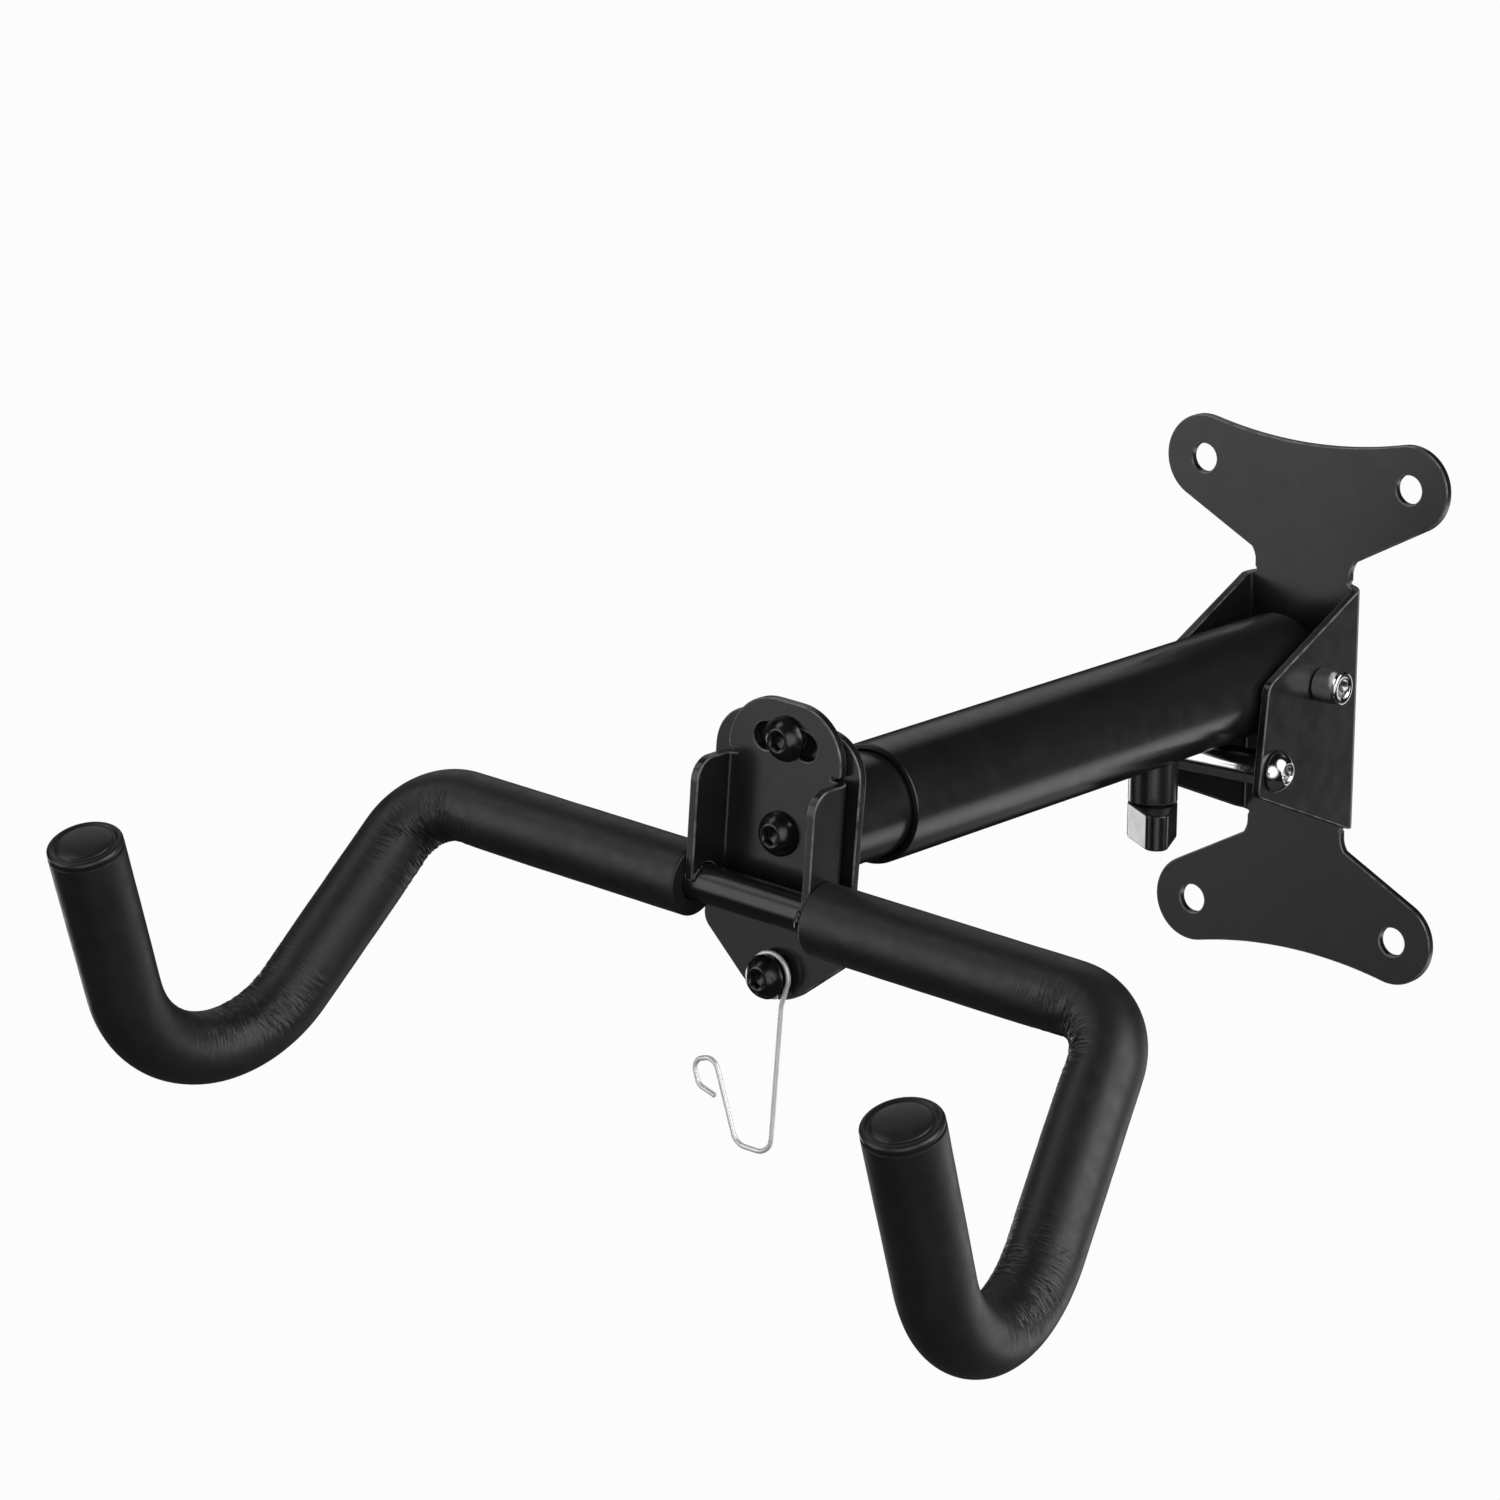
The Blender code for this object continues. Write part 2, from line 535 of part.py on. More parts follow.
def front_plate(axis):
    """Web with a slotted tongue above and two flanges that reach forward to the bar."""
    bottom = BAR_Z - 4.5 * MM
    inside = CHEEK_IN - 5.0 * MM
    relief = CHEEK_TOP + MM
    notch = relief + 0.5 * MM
    tongue = rounded([(-inside, bottom), (inside, bottom), (inside, notch), (TONGUE_X, relief),
                      (TONGUE_X, TONGUE_TOP), (-TONGUE_X, TONGUE_TOP), (-TONGUE_X, relief), (-inside, notch)],
                     [0.0, 0.0, 0.0, 0.0, TONGUE_CORNER, TONGUE_CORNER, 0.0, 0.0], count=8)
    end = SLOT_HALF_ANGLE
    cap = SLOT_HALF_WIDTH
    up = pi / 2
    slot = arc((0, 0), SLOT_RADIUS + cap, up - end, up + end, 9)
    slot += arc((-SLOT_RADIUS * sin(end), SLOT_RADIUS * cos(end)), cap, up + end, up + end + pi, 7)[1:]
    slot += arc((0, 0), SLOT_RADIUS - cap, up + end, up - end, 9)[1:]
    slot += arc((SLOT_RADIUS * sin(end), SLOT_RADIUS * cos(end)), cap, -up - end, up - end, 7)[1:-1]
    place = Matrix.Translation((0, (WEB_FRONT + WEB_BACK) / 2, 0))
    data = sheet_mesh("front_plate", [tongue, slot], SHEET - OVERLAP, place @ UPRIGHT)
    plate = add_part("front_plate", data, PAINT, axis)
    section = channel_outline(CHEEK_IN, -2 * CHEEK_FRONT, WEB_BACK, BEND_IN)
    cheeks = add_cutter("cheeks", sheet_mesh("cheeks", [section], 4 * CHEEK_TOP, Matrix.Identity(4)), axis)
    side = rounded([(-CHEEK_FRONT, BAR_Z), (2 * WEB_BACK, BAR_Z), (2 * WEB_BACK, CHEEK_TOP),
                    (-CHEEK_FRONT, CHEEK_TOP)], [0.0, 0.0, 0.0, 7.0 * MM])
    shape = add_cutter("cheek_side", sheet_mesh("cheek_side", [side], 4 * CHEEK_OUT, SIDEWAYS), axis)
    cut(cheeks, shape, "INTERSECT")
    cut(plate, cheeks, "UNION")
    cut_cylinder(plate, (0, 0, 0), (0, 0.02, 0), SHANK_HOLE_R, axis, 24)
    cut_cylinder(plate, (-2 * CHEEK_OUT, 0, BAR_Z), (2 * CHEEK_OUT, 0, BAR_Z), BAR_R + GAP + 0.1 * MM, axis, 24)


def hook_path(side):
    """Centre line of half the bar, from its middle to the tip of one hook."""
    points = [Vector((0, 0, BAR_Z)), HOOK_CORNER, HOOK_LOW, HOOK_TIP]
    path = rounded(points, [0.0, CORNER_RADIUS, LOW_RADIUS, 0.0], count=9, closed=False)
    return [Vector((side * point.x, point.y, point.z)) for point in path]


def hooks(axis):
    right = hook_path(1)
    tip_way = (HOOK_TIP - HOOK_LOW).normalized()
    bar_end = HOOK_TIP - tip_way * (CUP_TOP + GAP)
    half = right[1:-1] + [bar_end]
    whole = [Vector((-p.x, p.y, p.z)) for p in reversed(half)] + half
    add_part("hook_bar", tube_mesh("hook_bar", whole, BAR_R, 4), PAINT, axis)
    for side, word in ((-1, "left"), (1, "right")):
        path = hook_path(side)
        start = Vector((side * FOAM_START, 0, BAR_Z))
        tip = path[-1]
        way = Vector((side * tip_way.x, tip_way.y, tip_way.z))
        foam_end = tip - way * (CAP_RIM + GAP)
        route = [start] + path[1:-1] + [foam_end]
        foam = add_part("foam_" + word, tube_mesh("foam_" + word, route, FOAM_R, 6), FOAM, axis)
        bore_name = "foam_bore_" + word
        bore = [Vector((0, 0, BAR_Z))] + path[1:-1] + [tip + way * 0.01]
        cut(foam, add_cutter(bore_name, tube_mesh(bore_name, bore, FOAM_BORE_R, 4), axis))
        cut_cylinder(foam, tip - way * (CUP_DEPTH + GAP), tip + way * 0.01, CUP_R + 0.4 * MM, axis, 24)
        inner = BAR_R + 0.4 * MM
        rise = 0.7 * MM
        dome = [(CAP_DOME_R * sin(a), CAP_DOME * cos(a)) for a in (0.0, 0.4, 0.8, 1.2, pi / 2)]
        rim = [(CAP_R - rise, 0.0), (CAP_R, -rise), (CAP_R, -CAP_RIM + rise), (CAP_R - rise, -CAP_RIM)]
        cup = [(CUP_R, -CAP_RIM), (CUP_R, -CUP_DEPTH), (inner, -CUP_DEPTH), (inner, -CUP_TOP), (0.0, -CUP_TOP)]
        turned_part("end_cap_" + word, dome + rim + cup, PLASTIC, tip, way, axis, sides=24)


def wire_hook():
    """Wire bent to a ring round its screw, a straight leg and an open hook with a curled end."""
    ring_y = REAR_FRONT - GAP - WIRE_BUSH_LONG / 2
    roll = Matrix.Rotation(REAR_ROLL, 4, "Y")
    centre = Vector((0, BAR_Y, ARM_Z)) + roll @ Vector((0, ring_y, WIRE_SCREW_Z))
    axis = add_axis("wire_axis", centre)
    leave = radians(-25)
    ring = [Vector(p) for p in arc((0, 0), WIRE_RING_R, radians(-70) + 2 * pi, leave, 22)]
    corners = [(4.2, -9.0), (0.2, -57.8), (-13.2, -57.0), (-21.8, -30.6), (-30.4, -33.4), (-28.0, -41.0)]
    radii = [6.0, 5.5, 5.0, 4.0, 3.6, 3.0]
    points = [ring[-1]] + [Vector(p) * MM for p in corners] + [Vector((-21.6, -43.2)) * MM]
    leg = rounded(points, [0.0] + [r * MM for r in radii] + [0.0], count=5, closed=False)
    path = [Vector((p.x, 0, p.y)) for p in ring + leg[1:]]
    add_part("wire_hook", tube_mesh("wire_hook", path, WIRE_R, 2), WIRE_STEEL, axis)


def head():
    axis = head_axis("tilt_axis", FRONT_ROLL)
    front_plate(axis)
    hooks(axis)


wall_bracket()
bracket_fasteners()
arm()
clamp()
spindle()
head()
wire_hook()
bpy.context.view_layer.update()
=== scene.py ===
"""Looks of the folding bicycle wall rack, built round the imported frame.

Metres, +Z up. The wall is the plane y = 0 and the arm points along -Y.
"""
import json
from math import acos, asin, atan2, cos, pi, radians, sin, sqrt, tan

import bmesh
import bpy
import numpy as np
from mathutils import Matrix, Vector, noise


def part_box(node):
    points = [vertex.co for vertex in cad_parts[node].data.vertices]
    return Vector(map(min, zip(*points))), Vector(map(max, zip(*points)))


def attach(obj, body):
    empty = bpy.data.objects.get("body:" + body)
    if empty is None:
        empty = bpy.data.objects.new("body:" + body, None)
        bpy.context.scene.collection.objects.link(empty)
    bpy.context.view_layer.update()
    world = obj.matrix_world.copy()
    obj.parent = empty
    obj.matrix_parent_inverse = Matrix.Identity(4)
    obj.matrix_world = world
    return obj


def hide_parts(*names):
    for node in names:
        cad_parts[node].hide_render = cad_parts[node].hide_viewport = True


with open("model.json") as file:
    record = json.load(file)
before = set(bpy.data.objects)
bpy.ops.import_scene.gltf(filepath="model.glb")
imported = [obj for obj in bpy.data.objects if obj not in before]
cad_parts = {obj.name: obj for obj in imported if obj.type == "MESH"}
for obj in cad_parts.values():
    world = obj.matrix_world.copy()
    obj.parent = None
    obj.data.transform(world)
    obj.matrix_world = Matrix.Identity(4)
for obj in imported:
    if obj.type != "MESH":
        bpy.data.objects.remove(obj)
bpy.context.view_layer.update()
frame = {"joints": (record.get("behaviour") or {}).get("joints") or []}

MM = 0.001
JOINTS = {joint["name"]: joint for joint in frame["joints"]}
PIVOT = Vector(JOINTS["arm_fold"]["pos_m"])
HEAD = Vector(JOINTS["head_tilt"]["pos_m"])  # on the arm's axis, in the plane of the bar
WIRE_PIVOT = Vector(JOINTS["wire_swing"]["pos_m"])
CLAMP = Vector(JOINTS["clamp_turn"]["pos_m"])
ARM_Z = PIVOT.z
ARM_R = (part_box("arm_tube")[1][0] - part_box("arm_tube")[0][0]) / 2
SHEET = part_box("rear_plate")[1][1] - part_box("rear_plate")[0][1]
SHEET_EDGE = 0.45 * MM
BEND_IN = 1.5 * MM  # inner radius of a bend in a sheet
GAP = 0.3 * MM  # between pieces that touch
REAR_ROLL = radians(4.6)
FRONT_ROLL = radians(3.85)
REAR_FRAME = Matrix.Translation(HEAD) @ Matrix.Rotation(REAR_ROLL, 4, "Y")
FRONT_FRAME = Matrix.Translation(HEAD) @ Matrix.Rotation(FRONT_ROLL, 4, "Y")
FORWARD, BACK = Vector((0, -1, 0)), Vector((0, 1, 0))
RIGHT, LEFT = Vector((1, 0, 0)), Vector((-1, 0, 0))


# Camera and studio --------

CAMERA_AZIMUTH = radians(38.78)
CAMERA_ELEVATION = radians(14.89)
CAMERA_ROLL = radians(0.36)
CAMERA_PLACE = Vector((0.97443, -1.51361, 0.45629))
CAMERA_LENS = 129.9
FLOOR_Z = -1.5
FLOOR_HALF = 1.6
BACKDROP = 0.975
FLOOR_SHADE = 0.05
ROOM_LIGHT = 0.006
SOFTBOX_PLACE = Vector((-1.3, -1.1, 1.7))
SOFTBOX_AIM = Vector((0.0, -0.2, 0.0))
SOFTBOX_SIZE = 0.9
SOFTBOX_POWER = 4.0
STUDIO_LIGHTS = (  # direction, cosines where it starts and is full, strength
    ((-0.62, -0.76, 0.16), 0.86, 0.96, 1.8),
    ((0.86, 0.15, 0.48), 0.85, 0.96, 3.2),
    ((0.36, 0.70, -0.62), 0.945, 0.985, 1.0),
    ((0.18, 0.95, -0.25), 0.94, 0.99, 1.2),
    ((0.90, 0.42, 0.02), 0.955, 0.985, 3.2),
    ((-0.93, 0.27, -0.26), 0.978, 0.992, 4.2),
    ((-0.58, 0.58, 0.57), 0.87, 0.97, 0.5),
    ((0.60, -0.78, 0.10), 0.80, 0.97, 1.7),
    ((0.10, 0.80, -0.60), 0.92, 0.98, 0.30))


def new_object(name, data):
    made = bpy.data.objects.new(name, data)
    bpy.context.scene.collection.objects.link(made)
    return made


def add_node(tree, kind, inputs=None, **values):
    """A new node with these values on its inputs and these properties."""
    made = tree.nodes.new(kind)
    for name, value in values.items():
        setattr(made, name, value)
    for socket, value in (inputs or {}).items():
        made.inputs[socket].default_value = value
    return made


def add_camera():
    look = Vector((-sin(CAMERA_AZIMUTH) * cos(CAMERA_ELEVATION),
                   cos(CAMERA_AZIMUTH) * cos(CAMERA_ELEVATION), -sin(CAMERA_ELEVATION)))
    level = Vector((cos(CAMERA_AZIMUTH), sin(CAMERA_AZIMUTH), 0))
    upright = level.cross(look)
    right = cos(CAMERA_ROLL) * level + sin(CAMERA_ROLL) * upright
    up = right.cross(look)
    camera = new_object("camera", bpy.data.cameras.new("camera"))
    turn = Matrix((right, up, -look)).transposed().to_4x4()
    camera.matrix_world = Matrix.Translation(CAMERA_PLACE) @ turn
    camera.data.lens = CAMERA_LENS
    camera.data.sensor_width = 36.0
    camera.data.clip_start = 0.05
    camera.data.clip_end = 50.0
    bpy.context.scene.camera = camera


def add_softbox():
    lamp = bpy.data.lights.new("key softbox", "AREA")
    lamp.shape = "RECTANGLE"
    lamp.size = lamp.size_y = SOFTBOX_SIZE
    lamp.energy = SOFTBOX_POWER
    box = new_object("key softbox", lamp)
    box.location = SOFTBOX_PLACE
    box.rotation_euler = (SOFTBOX_AIM - SOFTBOX_PLACE).to_track_quat("-Z", "Y").to_euler()


def add_world():
    """White backdrop for the camera, and round the object a dim room with soft round lights."""
    world = bpy.data.worlds.new("studio")
    bpy.context.scene.world = world
    world.use_nodes = True
    tree = world.node_tree
    background, link = tree.nodes["Background"], tree.links.new
    place = add_node(tree, "ShaderNodeTexCoord")
    total = None
    for direction, start, full, strength in STUDIO_LIGHTS:
        towards = {1: Vector(direction).normalized()}
        side = add_node(tree, "ShaderNodeVectorMath", towards, operation="DOT_PRODUCT")
        link(place.outputs["Generated"], side.inputs[0])
        limits = {"From Min": start, "From Max": full, "To Max": strength}
        lobe = add_node(tree, "ShaderNodeMapRange", limits, interpolation_type="SMOOTHSTEP")
        link(side.outputs["Value"], lobe.inputs["Value"])
        add = add_node(tree, "ShaderNodeMath", {1: ROOM_LIGHT})
        link(lobe.outputs["Result"], add.inputs[0])
        if total is not None:
            link(total, add.inputs[1])
        total = add.outputs["Value"]
    path = add_node(tree, "ShaderNodeLightPath")
    pick = add_node(tree, "ShaderNodeMix", {"B": BACKDROP})
    link(path.outputs["Is Camera Ray"], pick.inputs["Factor"])
    link(total, pick.inputs["A"])
    link(pick.outputs["Result"], background.inputs["Strength"])
    background.inputs["Color"].default_value = (1.0, 1.0, 1.0, 1.0)


def add_floor():
    """Pale floor, overexposed to plain white where the camera sees it."""
    data = bpy.data.meshes.new("floor")
    corners = ((-1, -1), (1, -1), (1, 1), (-1, 1))
    data.from_pydata([(x * FLOOR_HALF, y * FLOOR_HALF, FLOOR_Z) for x, y in corners], [], [(0, 1, 2, 3)])
    floor = new_object("floor", data)
    material = bpy.data.materials.new("pale floor")
    material.use_nodes = True
    tree = material.node_tree
    shader = tree.nodes["Principled BSDF"]
    shader.inputs["Base Color"].default_value = (FLOOR_SHADE, FLOOR_SHADE, FLOOR_SHADE, 1.0)
    shader.inputs["Roughness"].default_value = 0.9
    white = add_node(tree, "ShaderNodeEmission", {"Strength": BACKDROP})
    path = add_node(tree, "ShaderNodeLightPath")
    pick = add_node(tree, "ShaderNodeMixShader")
    tree.links.new(path.outputs["Is Camera Ray"], pick.inputs["Fac"])
    tree.links.new(shader.outputs["BSDF"], pick.inputs[1])
    tree.links.new(white.outputs["Emission"], pick.inputs[2])
    tree.links.new(pick.outputs["Shader"], tree.nodes["Material Output"].inputs["Surface"])
    data.materials.append(material)


def studio():
    bpy.context.scene.view_settings.view_transform = "Standard"
    add_world()
    add_floor()
    add_softbox()


# Materials --------

class Look:
    """A Principled material with a few procedural layers on object coordinates."""

    def __init__(self, name, colour, roughness, metallic=0.0):
        self.material = bpy.data.materials.new(name)
        self.material.use_nodes = True
        self.tree = self.material.node_tree
        self.shader = self.tree.nodes["Principled BSDF"]
        self.shader.inputs["Base Color"].default_value = (*colour, 1.0)
        self.shader.inputs["Roughness"].default_value = roughness
        self.shader.inputs["Metallic"].default_value = metallic
        self.place = self.tree.nodes.new("ShaderNodeTexCoord").outputs["Object"]
        self.normal = None

    def node(self, kind, inputs=None, **values):
        return add_node(self.tree, kind, inputs, **values)

    def link(self, source, target):
        self.tree.links.new(source, target)

    def noise(self, scale, detail=3.0, stretch=(1.0, 1.0, 1.0)):
        """Noise from 0 to 1, with features of about 1 / scale metres."""
        mapping = self.node("ShaderNodeMapping", {"Scale": stretch})
        self.link(self.place, mapping.inputs["Vector"])
        texture = self.node("ShaderNodeTexNoise", {"Scale": scale, "Detail": detail})
        self.link(mapping.outputs["Vector"], texture.inputs["Vector"])
        return texture.outputs["Fac"]

    def spread(self, value, low, high, start=0.3, end=0.7):
        """The value from start to end mapped to low to high."""
        limits = {"From Min": start, "From Max": end, "To Min": low, "To Max": high}
        ramp = self.node("ShaderNodeMapRange", limits)
        self.link(value, ramp.inputs["Value"])
        return ramp.outputs["Result"]

    def vary_colour(self, value, dark, light, start=0.3, end=0.7):
        share = self.spread(value, 0.0, 1.0, start, end)
        mix = self.node("ShaderNodeMix", {"A": (*dark, 1.0), "B": (*light, 1.0)}, data_type="RGBA")
        self.link(share, mix.inputs["Factor"])
        self.link(mix.outputs["Result"], self.shader.inputs["Base Color"])

    def vary_roughness(self, value, low, high):
        self.link(self.spread(value, low, high), self.shader.inputs["Roughness"])

    def wear_and_edge_highlight(self, rubbed_and_highlight_colour, roughness):
        """Rubbed paint and a painted highlight: a lighter, glossier colour where the mesh's edge attribute
        says that a face is a rounded edge.
        """
        edge = self.node("ShaderNodeAttribute", attribute_name="edge").outputs["Fac"]
        patchy = self.spread(self.noise(220.0, 4.0), 0.25, 1.0, 0.35, 0.6)
        amount = self.node("ShaderNodeMath", operation="MULTIPLY")
        self.link(edge, amount.inputs[0])
        self.link(patchy, amount.inputs[1])
        for socket, kind, shifted in (("Base Color", "RGBA", (*rubbed_and_highlight_colour, 1.0)), ("Roughness", "FLOAT", roughness)):
            mix = self.node("ShaderNodeMix", {"B": shifted}, data_type=kind)
            self.link(amount.outputs["Value"], mix.inputs["Factor"])
            self.link(self.shader.inputs[socket].links[0].from_socket, mix.inputs["A"])
            self.link(mix.outputs["Result"], self.shader.inputs[socket])

    def bump(self, height, distance, strength=1.0):
        """Height from 0 to 1 raised by up to distance metres; bumps stack."""
        bump = self.node("ShaderNodeBump", {"Strength": strength, "Distance": distance})
        self.link(height, bump.inputs["Height"])
        if self.normal is not None:
            self.link(self.normal, bump.inputs["Normal"])
        self.normal = bump.outputs["Normal"]
        self.link(self.normal, self.shader.inputs["Normal"])


def grey(level):
    return (level, level, level * 1.02)


def powder_coat():
    """Satin black powder coat with a fine orange peel."""
    look = Look("powder coat", grey(0.011), 0.23)
    patches = look.noise(38.0, 4.0)
    look.vary_colour(patches, grey(0.009), grey(0.013))
    look.vary_roughness(look.noise(160.0, 4.0), 0.20, 0.26)
    # rounded edges turn grey 0.16: partly rubbed paint, partly a painted highlight along the edges
    look.wear_and_edge_highlight(grey(0.16), 0.20)
    look.bump(look.noise(650.0, 2.0), 0.02 * MM, 0.3)
    look.bump(look.noise(3600.0, 1.0), 0.004 * MM, 0.4)
    return look.material


def foam_skin():
    """Matt black closed-cell foam with a slightly rubbed skin."""
    look = Look("foam skin", grey(0.010), 0.46)
    look.shader.inputs["Sheen Weight"].default_value = 0.03
    look.shader.inputs["Sheen Roughness"].default_value = 0.4
    rubbed = look.noise(26.0, 5.0)
    look.vary_colour(rubbed, grey(0.008), grey(0.012))
    look.vary_roughness(look.noise(210.0, 4.0), 0.40, 0.52)
    look.bump(look.noise(420.0, 3.0), 0.05 * MM, 0.35)
    look.bump(look.noise(2600.0, 2.0), 0.02 * MM, 0.6)
    return look.material


def moulded_plastic():
    """Black moulded plastic, fairly glossy, with faint flow marks."""
    look = Look("moulded plastic", grey(0.014), 0.20)
    flow = look.noise(60.0, 3.0, (1.0, 1.0, 0.35))
    look.vary_colour(flow, grey(0.008), grey(0.013))
    look.vary_roughness(look.noise(240.0, 3.0), 0.17, 0.24)
    look.bump(look.noise(1500.0, 2.0), 0.010 * MM, 0.4)
    return look.material


def cap_rubber():
    """Soft black end caps, matt with a slight sheen."""
    look = Look("cap rubber", grey(0.012), 0.36)
    look.vary_colour(look.noise(90.0, 4.0), grey(0.010), grey(0.015))
    look.vary_roughness(look.noise(260.0, 3.0), 0.32, 0.42)
    look.bump(look.noise(1900.0, 2.0), 0.010 * MM, 0.5)
    return look.material


def bright_zinc():
    """Bright plated steel with faint turning marks and small dull spots."""
    look = Look("bright zinc", (0.74, 0.745, 0.75), 0.12, 1.0)
    marks = look.noise(500.0, 3.0, (5.0, 1.0, 1.0))
    look.vary_colour(look.noise(300.0, 4.0), (0.66, 0.66, 0.67), (0.80, 0.80, 0.80))
    look.vary_roughness(marks, 0.07, 0.17)
    look.bump(marks, 0.004 * MM, 0.4)
    return look.material


def black_oxide():
    """Black oxide screws, oiled and slightly uneven."""
    look = Look("black oxide", grey(0.03), 0.24, 0.8)
    shifted = look.noise(420.0, 5.0)
    look.vary_colour(shifted, grey(0.03), grey(0.07), 0.35, 0.8)
    look.vary_roughness(look.noise(800.0, 3.0), 0.16, 0.24)
    look.bump(look.noise(2200.0, 2.0), 0.002 * MM, 0.4)
    return look.material


def bright_wire():
    """Drawn galvanised wire with faint marks along its length."""
    look = Look("drawn wire", (0.92, 0.92, 0.91), 0.34, 0.4)
    drawn = look.noise(600.0, 2.0, (1.0, 1.0, 0.12))
    look.vary_colour(drawn, (0.86, 0.86, 0.86), (0.95, 0.95, 0.94))
    look.vary_roughness(drawn, 0.30, 0.38)
    look.bump(drawn, 0.001 * MM, 0.3)
    return look.material


def weld_steel():
    """Weld bead under the same coat, glossier and uneven."""
    look = Look("coated weld", grey(0.010), 0.2)
    look.vary_colour(look.noise(500.0, 3.0), grey(0.008), grey(0.013))
    look.vary_roughness(look.noise(600.0, 3.0), 0.14, 0.26)
    look.bump(look.noise(1300.0, 3.0), 0.04 * MM, 0.5)
    return look.material


# Mesh tools --------

def mesh_of(name, points, faces, sharp=35.0):
    """Closed mesh with outward normals, smooth except at edges sharper than the angle."""
    bm = bmesh.new()
    made = [bm.verts.new(point) for point in points]
    for face in faces:
        corners = [made[i] for i in face]
        if len(set(corners)) > 2:
            bm.faces.new(corners)
    bmesh.ops.remove_doubles(bm, verts=bm.verts, dist=1e-7)
    bmesh.ops.recalc_face_normals(bm, faces=bm.faces)
    return from_bmesh(name, bm, sharp)


def from_bmesh(name, bm, sharp=35.0):
    data = bpy.data.meshes.new(name)
    bm.to_mesh(data)
    bm.free()
    return smoothed(data, sharp)


def smoothed(data, sharp):
    data.shade_smooth()
    data.set_sharp_from_angle(angle=radians(sharp))
    return data


def applied(holder, *helpers):
    """The holder's mesh with its modifiers applied; the holder and its helpers are removed."""
    bpy.context.view_layer.update()
    graph = bpy.context.evaluated_depsgraph_get()
    data = bpy.data.meshes.new_from_object(holder.evaluated_get(graph))
    for unused in (holder, *helpers):
        bpy.data.objects.remove(unused, do_unlink=True)
    return data


def add_piece(name, data, body, material, slot, *nodes):
    """A piece that rides on the body with the given material and stands for the CAD nodes, which it hides;
    the slot argument is not used.
    """
    piece = new_object(name, data)
    data.materials.append(material)
    flats = piece.modifiers.new("flat faces stay flat", "WEIGHTED_NORMAL")
    flats.keep_sharp = True
    flats.weight = 100
    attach(piece, body)
    if nodes:
        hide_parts(*nodes)
    return piece


def bored(data, holes, sharp=35.0):
    """The mesh with round holes through it; a hole is (start, direction, radius, length)."""
    holder = new_object(data.name + " form", data)
    drills = []
    for start, direction, radius, length in holes:
        rings = [(0.0, 0.0), (radius, 0.0), (radius, length), (0.0, length)]
        drill = new_object("drill", turned("drill", rings, aim(start, direction), 64))
        cut = holder.modifiers.new("hole", "BOOLEAN")
        cut.operation = "DIFFERENCE"
        cut.solver = "EXACT"
        cut.object = drill
        drills.append(drill)
    return smoothed(applied(holder, *drills), sharp)


def aim(start, direction):
    """Matrix that puts local +Z along direction, from start."""
    turn = Vector(direction).to_track_quat("Z", "Y").to_matrix().to_4x4()
    return Matrix.Translation(Vector(start)) @ turn


def hexagon(apothem):
    """Radius of a hexagon at an angle; its corners lie at 30 degrees and every 60 from there."""
    return lambda angle: apothem / cos((angle + pi / 6) % (pi / 3) - pi / 6)


def turned(name, rings, place, sides=96, closed=False, sharp=35.0):
    """Solid turned about local Z; a ring is (radius or radius at an angle, height)."""
    points, rows = [], []
    for radius, height in rings:
        if radius == 0.0:
            rows.append([len(points)] * sides)
            points.append(place @ Vector((0, 0, height)))
            continue
        rows.append(list(range(len(points), len(points) + sides)))
        for k in range(sides):
            angle = 2 * pi * k / sides
            reach = radius(angle) if callable(radius) else radius
            points.append(place @ Vector((reach * cos(angle), reach * sin(angle), height)))
    pairs = list(zip(rows, rows[1:])) + ([(rows[-1], rows[0])] if closed else [])
    faces = [(a[k], a[(k + 1) % sides], b[(k + 1) % sides], b[k]) for a, b in pairs for k in range(sides)]
    faces = [tuple(dict.fromkeys(face)) for face in faces]
    return mesh_of(name, points, faces, sharp)


def band(low, high, count):
    """Quads between two rings of points that start at these indices."""
    return [(low + k, low + (k + 1) % count, high + (k + 1) % count, high + k) for k in range(count)]


def arc(centre, radius, start, end, count):
    """Points on an arc in a plane; angles in radians."""
    return [(centre[0] + radius * cos(start + (end - start) * k / (count - 1)),
             centre[1] + radius * sin(start + (end - start) * k / (count - 1))) for k in range(count)]


def circle(centre, radius, count=48):
    return arc(centre, radius, 0.0, 2 * pi, count + 1)[:-1]


def rounded(points, radii, count=8, closed=True):
    """Polyline through the points (any dimension) with each corner rounded to its radius."""
    points = [Vector(point) for point in points]
    path = []
    for i, corner in enumerate(points):
        radius = radii[i]
        if radius == 0.0 or (not closed and i in (0, len(points) - 1)):
            path.append(corner.copy())
            continue
        back = (points[i - 1] - corner).normalized()
        ahead = (points[(i + 1) % len(points)] - corner).normalized()
        half = acos(max(-1.0, min(1.0, back.dot(ahead)))) / 2
        centre = corner + (back + ahead).normalized() * (radius / sin(half))
        first = corner + back * (radius / tan(half)) - centre
        last = corner + ahead * (radius / tan(half)) - centre
        sweep = pi - 2 * half
        for k in range(count + 1):
            share = k / count
            reach = first * sin((1 - share) * sweep) + last * sin(share * sweep)
            path.append(centre + reach / sin(sweep))
    return path


def ring(outer, inner, low, high, edge=0.25 * MM, count=4):
    """Section of a washer or sleeve with rounded edges, as rings for turned()."""
    corners = [(outer, low), (outer, high), (inner, high), (inner, low)]
    return [tuple(p) for p in rounded(corners, [edge] * 4, count)]


